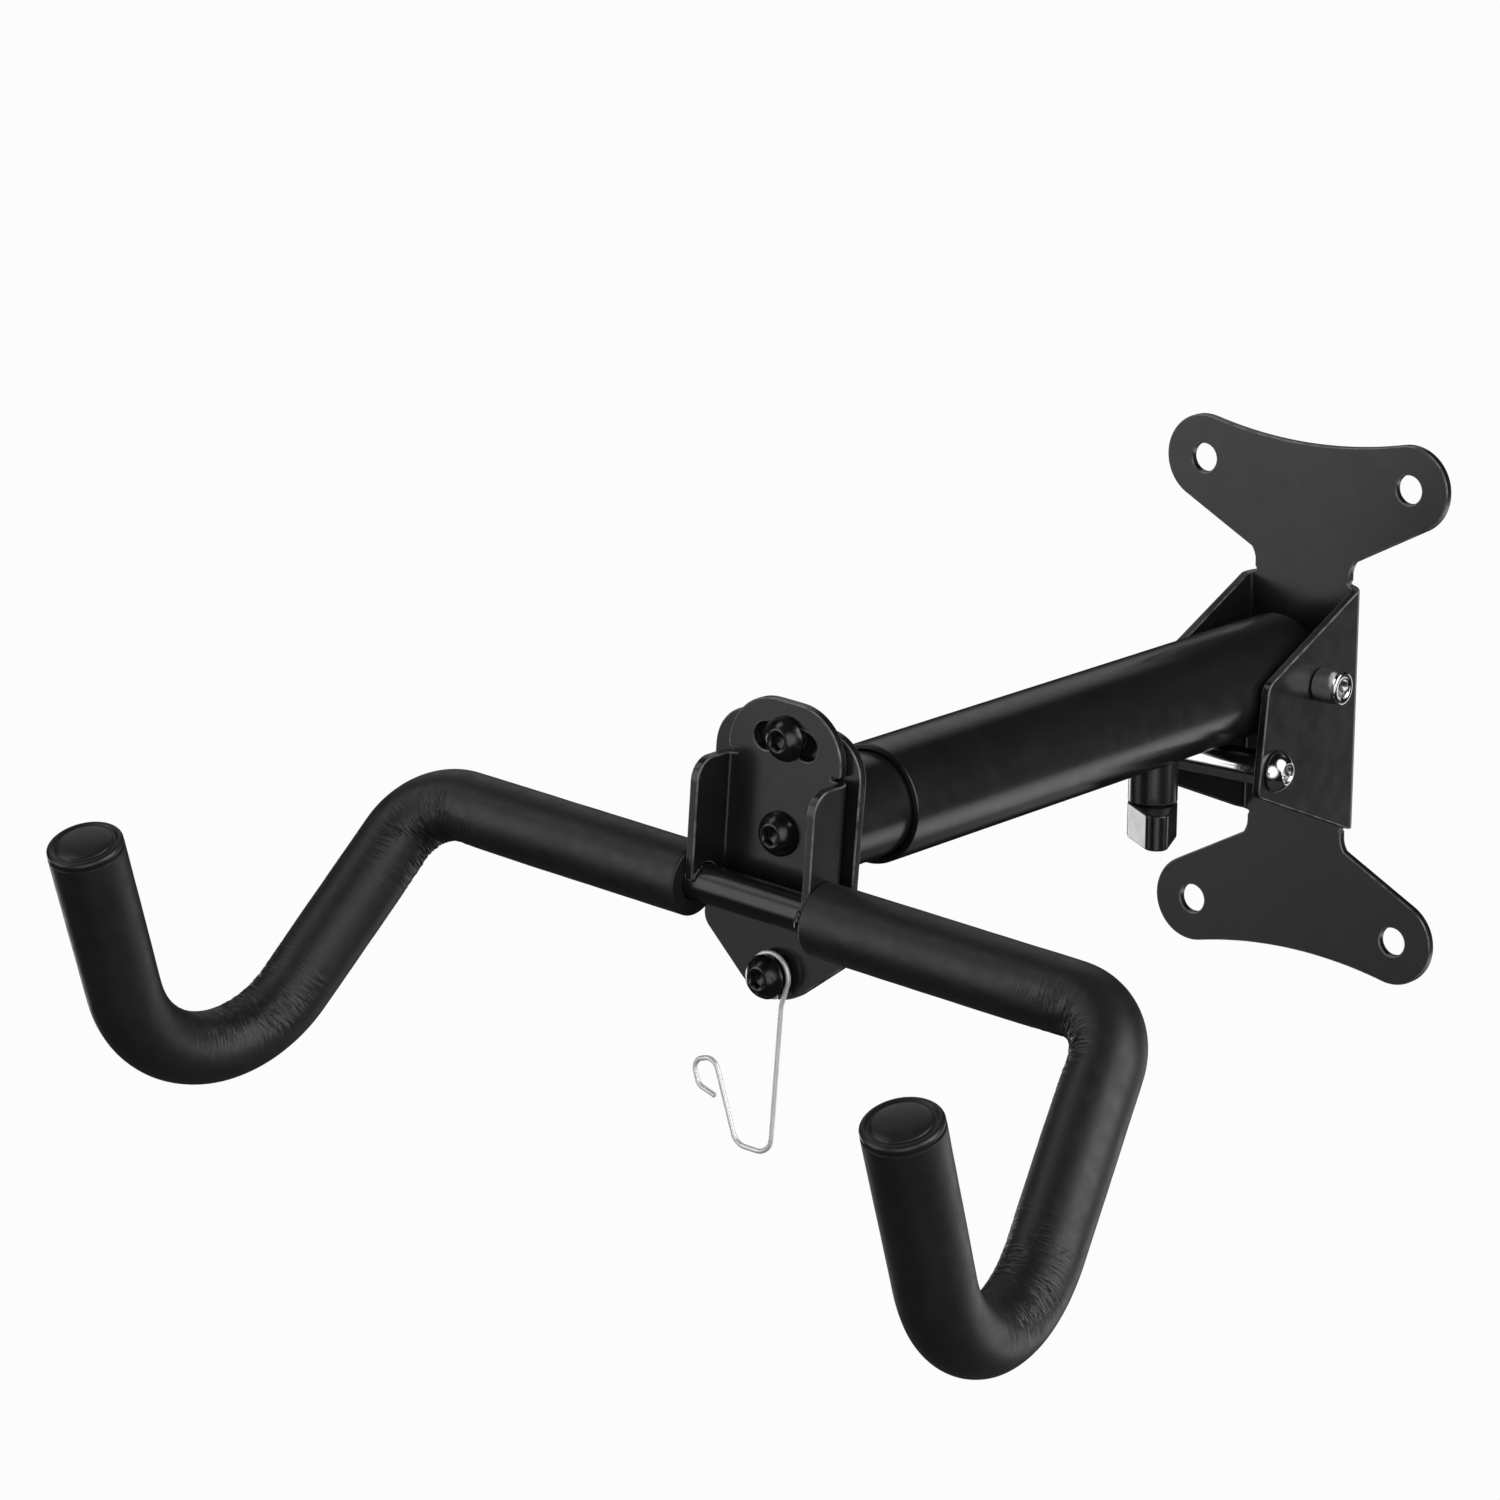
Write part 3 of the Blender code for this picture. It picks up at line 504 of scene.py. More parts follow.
def folded_sheet(name, panels, strips, place):
    """Sheet metal from its middle surface: flat panels, bent strips, then thickness and eased edges.

    A panel is (outlines, where), its outlines flat and where(u, v) the point in space;
    a strip is two rows of points that meet the panels' straight edges.
    """
    bm = bmesh.new()
    for outlines, where in panels:
        edges, corners = [], []
        for outline in outlines:
            loop = [bm.verts.new((p[0], p[1], 0.0)) for p in outline]
            corners += loop
            edges += [bm.edges.new((a, b)) for a, b in zip(loop, loop[1:] + loop[:1])]
        bmesh.ops.triangle_fill(bm, use_beauty=True, use_dissolve=False, edges=edges)
        for corner in corners:
            corner.co = where(corner.co.x, corner.co.y)
    for row, other in strips:
        a, b = [bm.verts.new(p) for p in row], [bm.verts.new(p) for p in other]
        for k in range(len(a) - 1):
            bm.faces.new((a[k], a[k + 1], b[k + 1], b[k]))
    bmesh.ops.remove_doubles(bm, verts=bm.verts, dist=2e-6)
    bmesh.ops.recalc_face_normals(bm, faces=bm.faces)
    data = bpy.data.meshes.new(name)
    bm.to_mesh(data)
    bm.free()
    holder = new_object(name + " form", data)
    solid = holder.modifiers.new("thickness", "SOLIDIFY")
    solid.thickness = SHEET
    solid.offset = 0.0
    solid.use_even_offset = True
    bm = bmesh.new()
    bm.from_mesh(applied(holder))
    bmesh.ops.dissolve_limit(bm, angle_limit=radians(0.6), verts=bm.verts, edges=bm.edges)
    rims = [e for e in bm.edges if len(e.link_faces) == 2 and e.calc_face_angle(0.0) > radians(50)]
    # marks the eased edge faces, where the paint gets rubbed edges and a painted edge highlight
    rim = bm.faces.layers.float.new("edge")
    eased = bmesh.ops.bevel(bm, geom=rims, offset=SHEET_EDGE, offset_type="OFFSET", segments=3,
                            profile=0.5, affect="EDGES", clamp_overlap=False)
    for face in eased["faces"]:
        face[rim] = 1.0
    bmesh.ops.transform(bm, matrix=place, verts=bm.verts)
    bmesh.ops.recalc_face_normals(bm, faces=bm.faces)
    return from_bmesh(name, bm, 38.0)


def bend_rows(side, start_x, start_y, count=7):
    """Rows of a sheet's middle surface across a square bend, as (x, y)."""
    radius = BEND_IN + SHEET / 2
    turns = [pi / 2 * k / (count - 1) for k in range(count)]
    return [(side * (start_x + radius * sin(turn)), start_y - radius * (1 - cos(turn))) for turn in turns]


def along(points, spacing):
    """The polyline resampled at the spacing, which may depend on the distance from its start."""
    points = np.array([tuple(p) for p in points])
    steps = np.linalg.norm(np.diff(points, axis=0), axis=1)
    place = np.concatenate([[0.0], np.cumsum(steps)])
    marks = [0.0]
    while marks[-1] < place[-1]:
        marks.append(marks[-1] + (spacing(marks[-1]) if callable(spacing) else spacing))
    marks = np.array(marks) * (place[-1] / marks[-1])
    return np.stack([np.interp(marks, place, points[:, k]) for k in range(3)], axis=1), marks


def smooth_path(points, rounds=2):
    """Softens the small kinks that resampling leaves."""
    points = points.copy()
    for _ in range(rounds):
        points[1:-1] = 0.25 * points[:-2] + 0.5 * points[1:-1] + 0.25 * points[2:]
    return points


def frames_along(points, first_side):
    """Tangent and two sides at each point, carried along without twist."""
    tangents = np.gradient(points, axis=0)
    tangents /= np.linalg.norm(tangents, axis=1)[:, None]
    side = np.array(first_side, float)
    sides = []
    for tangent in tangents:
        side = side - tangent * side.dot(tangent)
        side /= np.linalg.norm(side)
        sides.append(side)
    sides = np.array(sides)
    return tangents, sides, np.cross(tangents, sides)


def skin(name, points, radii, frames, place, sharp=35.0, ends=((), ())):
    """Tube with a radius for each point and angle; ends are (inset along the path, radius) rings."""
    tangents, sides, others = frames
    count = radii.shape[1]
    angles = 2 * pi * np.arange(count) / count
    spokes = sides[:, None] * np.cos(angles)[None, :, None]
    spokes = spokes + others[:, None] * np.sin(angles)[None, :, None]
    rows = list(points[:, None] + spokes * radii[:, :, None])
    for inset, radius in ends[0]:
        rows.insert(0, points[0] + tangents[0] * inset + spokes[0] * radius)
    for inset, radius in ends[1]:
        rows.append(points[-1] - tangents[-1] * inset + spokes[-1] * radius)
    verts = np.concatenate(rows)
    faces = []
    for k in range(len(rows) - 1):
        faces += band(k * count, (k + 1) * count, count)
    faces.append(tuple(range(count)))
    last = (len(rows) - 1) * count
    faces.append(tuple(range(last + count - 1, last - 1, -1)))
    return mesh_of(name, [place @ Vector(v) for v in verts], faces, sharp)


def round_bar(name, points, radius, place, sides=48, spacing=1.0 * MM, edge=0.4 * MM):
    path, _ = along(points, spacing)
    frames = frames_along(path, (0.0, 0.13, 0.99))
    radii = np.full((len(path), sides), radius)
    easing = [(-edge * sin(a), radius - edge + edge * cos(a)) for a in np.linspace(0.3, pi / 2, 4)]
    easing.append((-edge, radius * 0.5))
    return skin(name, path, radii, frames, place, ends=(easing, easing))


# Screws, nuts and washers --------

SHANK_R = 4.0 * MM
SHANK_HOLE_R = 4.35 * MM
THREAD_PITCH = 1.25 * MM
THREAD_DEPTH = 0.45 * MM
BUTTON_R = 7.0 * MM
BUTTON_HIGH = 4.4 * MM
CAP_HEAD_R = 5.7 * MM
CAP_HEAD_HIGH = 9.6 * MM
WASHER_HIGH = 1.6 * MM
NUT_FLAT = 6.5 * MM
NUT_HIGH = 6.5 * MM
SCREW_PAST_SEAT = 8.0 * MM  # from a nut's seat to the tip of its screw


def thread(low, high):
    """Rings of a threaded end, from its low tip up to plain shank."""
    rings = [(0.0, low), (SHANK_R - 1.1 * MM, low), (SHANK_R - THREAD_DEPTH, low + 0.6 * MM)]
    height = low + THREAD_PITCH
    while height < high:
        rings += [(SHANK_R, height), (SHANK_R - THREAD_DEPTH, height + THREAD_PITCH / 2)]
        height += THREAD_PITCH
    return rings + [(SHANK_R, high + THREAD_PITCH)]


def hex_socket(mouth, high, across, deep):
    """Rings from a head's top face into its hexagon socket."""
    wall = hexagon(across / 2)
    return [(mouth, high), (mouth - 0.15 * MM, high - 0.05 * MM), (wall, high - 0.4 * MM),
            (wall, high - deep), (0.0, high - deep - 0.8 * MM)]


def button_screw(name, seat, direction, length, *finish):
    """Domed socket screw; its head stands on seat and points along direction."""
    base, top = 0.6 * MM, 3.7 * MM
    sink = (BUTTON_R ** 2 + base ** 2 - top ** 2 - BUTTON_HIGH ** 2) / (2 * (BUTTON_HIGH - base))
    reach = sqrt(BUTTON_R ** 2 + (base + sink) ** 2)
    low, high = atan2(base + sink, BUTTON_R), atan2(BUTTON_HIGH + sink, top)
    dome = [(reach * cos(a), reach * sin(a) - sink) for a in np.linspace(low, high, 14)]
    rings = thread(-length, -length + 12 * MM)
    rings += [(SHANK_R, 0.0), (BUTTON_R - 0.5 * MM, 0.0), (BUTTON_R - 0.12 * MM, 0.15 * MM),
              (BUTTON_R, base * 0.7)]
    rings += dome + hex_socket(top - 0.35 * MM, BUTTON_HIGH, 5.0 * MM, 2.5 * MM)
    add_piece(name, turned(name, rings, aim(seat, direction)), *finish)


def cap_screw(name, seat, direction, length, *finish):
    """Socket cap screw with a knurled cylinder head."""
    edge = 0.7 * MM

    def knurl(angle):
        return CAP_HEAD_R - (0.12 * MM if round(angle * 96 / pi) % 2 else 0.0)
    rings = thread(-length, -length + 14 * MM)
    rings += [(SHANK_R, 0.0), (CAP_HEAD_R - 0.4 * MM, 0.0), (CAP_HEAD_R - 0.1 * MM, 0.3 * MM),
              (knurl, 0.9 * MM), (knurl, CAP_HEAD_HIGH - 1.8 * MM),
              (CAP_HEAD_R - 0.1 * MM, CAP_HEAD_HIGH - 1.4 * MM)]
    rings += [(CAP_HEAD_R - edge + edge * cos(a), CAP_HEAD_HIGH - edge + edge * sin(a))
              for a in np.linspace(0.0, pi / 2, 6)]
    rings += hex_socket(3.9 * MM, CAP_HEAD_HIGH, 6.0 * MM, 4.0 * MM)
    add_piece(name, turned(name, rings, aim(seat, direction), 192), *finish)


def washer(name, start, direction, *finish):
    rings = ring(8.0 * MM, SHANK_HOLE_R, 0.0, WASHER_HIGH, 0.2 * MM)
    add_piece(name, turned(name, rings, aim(start, direction), closed=True), *finish)


def nut(name, start, direction, *finish):
    """Hexagon nut with chamfered corners."""
    high = NUT_HIGH
    flat = hexagon(NUT_FLAT)

    def wall(depth):
        return lambda angle: min(flat(angle), NUT_FLAT - 0.25 * MM + depth * 1.7)
    near = [(wall(d), d) for d in np.linspace(0.0, 0.8 * MM, 6)]
    far = [(wall(high - h), h) for h in np.linspace(high - 0.8 * MM, high, 6)]
    bore = [(4.9 * MM, high), (4.3 * MM, high - 0.6 * MM), (4.3 * MM, 0.6 * MM), (4.9 * MM, 0.0)]
    data = turned(name, near + far + bore, aim(start, direction), closed=True)
    add_piece(name, data, *finish)


# Wall bracket --------

HOLE_X = 41.0 * MM
HOLE_Z = 78.5 * MM
HOLE_R = 5.0 * MM
LOBE_R = 15.0 * MM
WAIST_Z = 88.4 * MM
NECK_X = 19.0 * MM
NECK_FILLET = 8.0 * MM
WING_ROOT = (25.0 * MM, 51.9 * MM)
EAR_IN = NECK_X + BEND_IN
EAR_OUT = EAR_IN + SHEET
EAR_BACK_Z = 43.5 * MM
EAR_FRONT_Z = 18.5 * MM
EAR_TOP_Y = -56.5 * MM
EAR_LOW_Y = -61.0 * MM
EAR_CUT_Z = EAR_BACK_Z + 1.0 * MM  # where an ear's slanted edges would meet the wall
NOTCH = 0.5 * MM  # relief cut in the neck at the end of a bend
NOTCH_Z = EAR_BACK_Z - 1.0 * MM
STOP_Y = -51.0 * MM
STOP_R = 5.8 * MM
STOP_Z = ARM_Z - ARM_R - STOP_R - GAP


def bracket_outline():
    """Edge of the flat plate: four wings round the holes, joined by a neck."""
    dip = LOBE_R - (WAIST_Z - HOLE_Z)
    big = (HOLE_X ** 2 + dip ** 2) / (2 * dip)
    lean = asin(HOLE_X / (big + LOBE_R))
    big = HOLE_X / sin(lean) - LOBE_R
    top_centre = (0.0, HOLE_Z + (big + LOBE_R) * cos(lean))
    root = Vector(WING_ROOT)
    lobe = Vector((HOLE_X, HOLE_Z))
    to_lobe = lobe - root
    edge_angle = atan2(to_lobe.y, to_lobe.x) - asin(LOBE_R / to_lobe.length)
    way = Vector((cos(edge_angle), sin(edge_angle)))
    corner = root + way * ((NECK_X - root.x) / way.x)
    fillet = rounded([lobe, corner, (NECK_X, 0.0)], [0.0, NECK_FILLET, 0.0], 14, closed=False)[1:-1]
    quarter = [(NECK_X, NOTCH_Z), (NECK_X - NOTCH, EAR_BACK_Z - 0.8 * MM),
               (NECK_X - NOTCH, EAR_BACK_Z), (NECK_X, EAR_BACK_Z + 0.2 * MM)]
    quarter += [(p.x, p.y) for p in reversed(fillet)]
    quarter += arc(lobe, LOBE_R, edge_angle - pi / 2, pi / 2 + lean, 32)
    quarter += arc(top_centre, big, -pi / 2 + lean, -pi / 2, 14)[1:]
    upper = quarter + [(-x, y) for x, y in reversed(quarter[:-1])]
    return upper + [(x, -y) for x, y in reversed(upper)]


def ear_edge(y, front_y):
    """Half height of an ear at y, on the slanted edge that ends at front_y."""
    slope = (EAR_CUT_Z - EAR_FRONT_Z) / (SHEET - front_y)
    return EAR_CUT_Z - slope * (SHEET - y)


def wall_bracket(paint):
    holes = [circle((sx * HOLE_X, sz * HOLE_Z), HOLE_R) for sx in (1, -1) for sz in (1, -1)]
    panels = [([bracket_outline()] + holes, lambda u, v: Vector((u, -SHEET / 2, v)))]
    bores = [circle(at, SHANK_HOLE_R, 32) for at in ((PIVOT.y, ARM_Z), (STOP_Y, STOP_Z))]
    strips = []
    for side in (1, -1):
        rows = bend_rows(side, NECK_X, -SHEET / 2)
        last = len(rows) - 1
        x, end = rows[last]
        high, low = ear_edge(end, EAR_TOP_Y), -ear_edge(end, EAR_LOW_Y)
        strips.append(([(*row, -NOTCH_Z + (low + NOTCH_Z) * k / last) for k, row in enumerate(rows)],
                       [(*row, NOTCH_Z + (high - NOTCH_Z) * k / last) for k, row in enumerate(rows)]))
        outline = rounded([(end, low), (EAR_LOW_Y, -EAR_FRONT_Z), (EAR_TOP_Y, EAR_FRONT_Z), (end, high)],
                          [0.0, 3.0 * MM, 5.0 * MM, 0.0], 8)
        panels.append(([outline] + bores, lambda u, v, x=x: Vector((x, u, v))))
    sheet = folded_sheet("bracket_sheet", panels, strips, Matrix.Identity(4))
    add_piece("bracket_sheet", sheet, "bracket", paint, "black_paint", "wall_bracket")


def bracket_fasteners(zinc):
    face = EAR_OUT + GAP
    stop = Vector((0, STOP_Y, STOP_Z))
    finish = ("bracket", zinc, "bright_zinc")
    nut_seat = face + WASHER_HIGH + GAP
    pivot_long = face + nut_seat + SCREW_PAST_SEAT
    cap_screw("pivot_bolt", PIVOT + RIGHT * face, RIGHT, pivot_long, *finish, "pivot_screw")
    washer("pivot_ring", PIVOT + LEFT * face, LEFT, *finish, "pivot_washer")
    nut("pivot_hex_nut", PIVOT + LEFT * nut_seat, LEFT, *finish, "pivot_nut")
    stop_long = 2 * face + SCREW_PAST_SEAT
    button_screw("stop_bolt", stop + RIGHT * face, RIGHT, stop_long, *finish, "stop_screw")
    nut("stop_hex_nut", stop + LEFT * face, LEFT, *finish, "stop_nut")
    inside = EAR_IN - GAP
    sleeve = turned("stop_tube", ring(STOP_R, SHANK_HOLE_R, 0.0, 2 * inside, 0.3 * MM),
                    aim(stop + LEFT * inside, RIGHT), closed=True)
    add_piece("stop_tube", sleeve, *finish, "stop_sleeve")


# Arm and clamp --------

TUBE_WALL = 2.0 * MM
BUSH_R = 6.0 * MM
CLAMP_R = 8.2 * MM
LEVER_REACH = 15.0 * MM
LEVER_NOSE_R = 4.0 * MM
LEVER_TURN = radians(-50.0)
LEVER_EDGE = 0.6 * MM
BOSS_WELD = 1.2 * MM


def arm(paint, zinc):
    low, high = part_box("arm_tube")
    length = high[1] - low[1]
    start = Vector((0, low[1], ARM_Z))
    tube = turned("arm_pipe", ring(ARM_R, ARM_R - TUBE_WALL, 0.0, length, 0.5 * MM),
                  aim(start, BACK), 128, closed=True)
    across = ARM_R + 1.0 * MM
    tube = bored(tube, [(PIVOT + LEFT * across, RIGHT, BUSH_R, 2 * across),
                        (CLAMP, Vector((0, 0, 1)), SHANK_R + GAP, 30.0 * MM)])
    add_piece("arm_pipe", tube, "arm", paint, "black_paint", "arm_tube")
    inside = EAR_IN - GAP
    bush = turned("pivot_tube", ring(BUSH_R, SHANK_HOLE_R, 0.0, 2 * inside),
                  aim(PIVOT + LEFT * inside, RIGHT), closed=True)
    add_piece("pivot_tube", bush, "arm", zinc, "bright_zinc", "pivot_bush")
    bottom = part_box("clamp_boss")[0][2]
    seat = ARM_Z - sqrt(ARM_R ** 2 - CLAMP_R ** 2) + 1.0 * MM
    rings = [(0.0, bottom), (CLAMP_R - 0.5 * MM, bottom), (CLAMP_R - 0.15 * MM, bottom + 0.15 * MM),
             (CLAMP_R, bottom + 0.5 * MM)]
    rings += [(CLAMP_R + BOSS_WELD * (1 - cos(a)), seat - BOSS_WELD + BOSS_WELD * sin(a))
              for a in np.linspace(0, 1.2, 6)]
    rings += [(CLAMP_R, seat + BOSS_WELD), (0.0, seat + BOSS_WELD)]
    boss = turned("clamp_socket", rings, Matrix.Translation((CLAMP.x, CLAMP.y, 0)))
    add_piece("clamp_socket", boss, "arm", paint, "black_paint", "clamp_boss")


def lever_outline():
    """Teardrop whose straight sides are tangent to the hub and to the nose."""
    lean = asin((CLAMP_R - LEVER_NOSE_R) / LEVER_REACH)
    edge = arc((0, 0), CLAMP_R, pi / 2 - lean, 1.5 * pi + lean, 40)
    return edge + arc((LEVER_REACH, 0), LEVER_NOSE_R, -pi / 2 + lean, pi / 2 - lean, 24)


def inset(outline, amount):
    """The outline moved inwards by the amount."""
    count = len(outline)
    moved = []
    for k in range(count):
        before, after = Vector(outline[k - 1]), Vector(outline[(k + 1) % count])
        way = (after - before).normalized()
        moved.append(Vector(outline[k]) + Vector((-way.y, way.x)) * amount)
    return moved


def clamp(plastic, zinc):
    low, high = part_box("clamp_lever")
    place = Matrix.Translation((CLAMP.x, CLAMP.y, 0)) @ Matrix.Rotation(LEVER_TURN, 4, "Z")
    outline = lever_outline()
    turns = np.linspace(0.0, pi / 2, 5)
    rows = [(LEVER_EDGE * (1 - sin(a)), low[2] + LEVER_EDGE * (1 - cos(a))) for a in turns]
    rows += [(LEVER_EDGE * (1 - sin(a)), high[2] - LEVER_EDGE * (1 - cos(a))) for a in turns[::-1]]
    count = len(outline)
    points = [place @ Vector((*p, z)) for amount, z in rows for p in inset(outline, amount)]
    last = (len(rows) - 1) * count
    faces = [face for row in range(0, last, count) for face in band(row, row + count, count)]
    faces += [tuple(range(count)), tuple(range(last, last + count))]
    handle = mesh_of("clamp_handle", points, faces)
    add_piece("clamp_handle", handle, "clamp", plastic, "cap_plastic", "clamp_lever")
    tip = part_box("clamp_screw")[1][2]
    foot = low[2] + 4.0 * MM
    rings = [(0.0, foot), (SHANK_R, foot), (SHANK_R, tip - 1.0 * MM), (SHANK_R - 0.8 * MM, tip), (0.0, tip)]
    screw = turned("clamp_stud", rings, Matrix.Translation((CLAMP.x, CLAMP.y, 0)), 48)
    add_piece("clamp_stud", screw, "clamp", zinc, "bright_zinc", "clamp_screw")


# Head: rear plate and inner tube --------

WEB_FRONT = 8.5 * MM
WEB_BACK = WEB_FRONT + SHEET
REAR_FRONT = WEB_BACK + GAP
REAR_BACK = REAR_FRONT + SHEET
REAR_HALF = 27.8 * MM
REAR_TOP_Z = 35.0 * MM
REAR_SHOULDER_Z = -36.0 * MM
REAR_FOOT_X = 7.0 * MM
REAR_LOW_Z = -54.0 * MM
REAR_SHIFT = -1.5 * MM
WIRE_SCREW_Z = -45.5 * MM
SLOT_RADIUS = 30.0 * MM
SLOT_HALF_ANGLE = radians(15.0)
SLOT_HALF_WIDTH = 4.4 * MM
INNER_R = ARM_R - TUBE_WALL - GAP
WIRE_BUSH_LONG = 4.4 * MM
SPINDLE_WELD = 1.5 * MM


def spindle(paint, oxide, weld):
    middle = (REAR_FRONT + REAR_BACK) / 2
    half = [(REAR_FOOT_X, REAR_LOW_Z), (REAR_HALF, REAR_SHOULDER_Z), (REAR_HALF, REAR_TOP_Z)]
    edge = rounded([(x + REAR_SHIFT, z) for x, z in half + [(-x, z) for x, z in reversed(half)]],
                   [r * MM for r in (18.0, 6.0, 14.0, 14.0, 6.0, 18.0)], 16)
    holes = [circle((0, z), SHANK_HOLE_R, 32) for z in (0.0, SLOT_RADIUS, WIRE_SCREW_Z)]
    panels = [([edge] + holes, lambda u, v: Vector((u, middle, v)))]
    sheet = folded_sheet("rear_sheet", panels, [], REAR_FRAME)
    add_piece("rear_sheet", sheet, "spindle", paint, "black_paint", "rear_plate")
    start, end = REAR_BACK + GAP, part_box("inner_tube")[1][1] - HEAD.y
    pipe = turned("inner_pipe", ring(INNER_R, INNER_R - TUBE_WALL, 0.0, end - start, 0.4 * MM),
                  REAR_FRAME @ aim((0, start, 0), BACK), 128, closed=True)
    add_piece("inner_pipe", pipe, "spindle", paint, "black_paint", "inner_tube")
    add_piece("spindle_weld", weld_ring(start - GAP), "spindle", weld, "black_paint")
    finish = ("spindle", oxide, "black_oxide")
    turn = REAR_FRAME.to_3x3()
    front, back = turn @ FORWARD, turn @ BACK

    def at(distance, z=0.0):
        return REAR_FRAME @ Vector((0, distance, z))
    web_face, rear_face = WEB_FRONT - GAP, REAR_BACK + GAP
    nut_seat = rear_face + WASHER_HIGH + GAP
    tip = nut_seat + SCREW_PAST_SEAT
    button_screw("tilt_bolt", at(web_face), front, tip - web_face, *finish, "tilt_screw")
    washer("tilt_ring", at(rear_face), back, *finish, "tilt_washer")
    nut("tilt_hex_nut", at(nut_seat), back, *finish, "tilt_nut")
    slot_long = REAR_BACK + 3.0 * MM - web_face
    button_screw("slot_bolt", at(web_face, SLOT_RADIUS), front, slot_long, *finish, "slot_screw")
    bush = REAR_FRONT - GAP
    wire_seat = bush - WIRE_BUSH_LONG - GAP
    collar = turned("wire_collar", ring(5.7 * MM, SHANK_HOLE_R, 0.0, WIRE_BUSH_LONG),
                    aim(at(bush, WIRE_SCREW_Z), front), closed=True)
    add_piece("wire_collar", collar, *finish, "wire_bush")
    button_screw("wire_bolt", at(wire_seat, WIRE_SCREW_Z), front, tip - wire_seat, *finish, "wire_screw")
    nut("wire_hex_nut", at(rear_face, WIRE_SCREW_Z), back, *finish, "wire_nut")


def weld_ring(start):
    """Rippled bead round the inner tube, against the rear plate's back."""
    count, sides = 240, 12
    points, faces = [], []
    for k in range(count):
        angle = 2 * pi * k / count
        lump = noise.noise(Vector((cos(angle), sin(angle), 0.0)) * 4.0)
        ripple = 1.0 + 0.12 * sin(angle * 34) + 0.10 * lump
        for i in range(sides):
            turn = 2 * pi * i / sides
            reach = INNER_R + SPINDLE_WELD * ripple * cos(turn) * 0.9
            depth = max(start + SPINDLE_WELD * ripple * 0.9 * sin(turn), start - 0.2 * MM)
            points.append(REAR_FRAME @ Vector((reach * cos(angle), depth, reach * sin(angle))))
        faces += band(k * sides, (k + 1) % count * sides, sides)
    return mesh_of("spindle_weld", points, faces, 60.0)


# Head: front plate, bar, foam and end caps --------

SIDE_NAMES = {-1: "left", 1: "right"}
CHEEK_IN = 20.8 * MM
CHEEK_OUT = CHEEK_IN + SHEET
CHEEK_TOP = 21.0 * MM
CHEEK_FRONT = 6.2 * MM
TONGUE_TOP = 41.5 * MM
TONGUE_X = 21.4 * MM
TONGUE_CORNER = 17.0 * MM
CHEEK_CORNER = 7.0 * MM
RELIEF_X = 1.4 * MM  # cut between a cheek and the tongue above it
RELIEF_Z = 1.3 * MM
BAR_R = 6.0 * MM
BAR_Z = -19.0 * MM
HOOK_CORNER = Vector((134.0, 0.0, -19.0)) * MM
HOOK_LOW = Vector((156.0, -88.0, -127.0)) * MM
HOOK_TIP = Vector((154.0, -131.0, -11.2)) * MM
CORNER_RADIUS = 20.0 * MM
LOW_RADIUS = 39.0 * MM
FOAM_R = 11.5 * MM
FOAM_SWELL = 0.35 * MM
FOAM_SWELL_LONG = 90.0 * MM
FOAM_EDGE = 0.9 * MM
FOAM_START = CHEEK_OUT + GAP
FINE_RINGS = 0.33 * MM  # ring spacing where the foam bends
PLAIN_RINGS = 1.4 * MM
BEND_BLUR = 11.0 * MM  # how far a bend is felt along the sleeve
CREASE_FULL = radians(60)  # creases are full up to this angle from a bend's inside
CREASE_END = radians(105)
PINCH = 0.45 * MM
PINCH_ANGLE = 0.7
FOLD = 0.7 * MM  # depth and half length of the fold in the sharp bend
FINE_CREASE = 0.34 * MM
DEEP_CREASE = 0.34 * MM
CAP_R = 11.8 * MM
CAP_RIM = 2.6 * MM
CAP_CUP = 8.2 * MM
CAP_DOME = 8.8 * MM
FOAM_BORE = 8.6 * MM  # at the tip, round the cap's cup


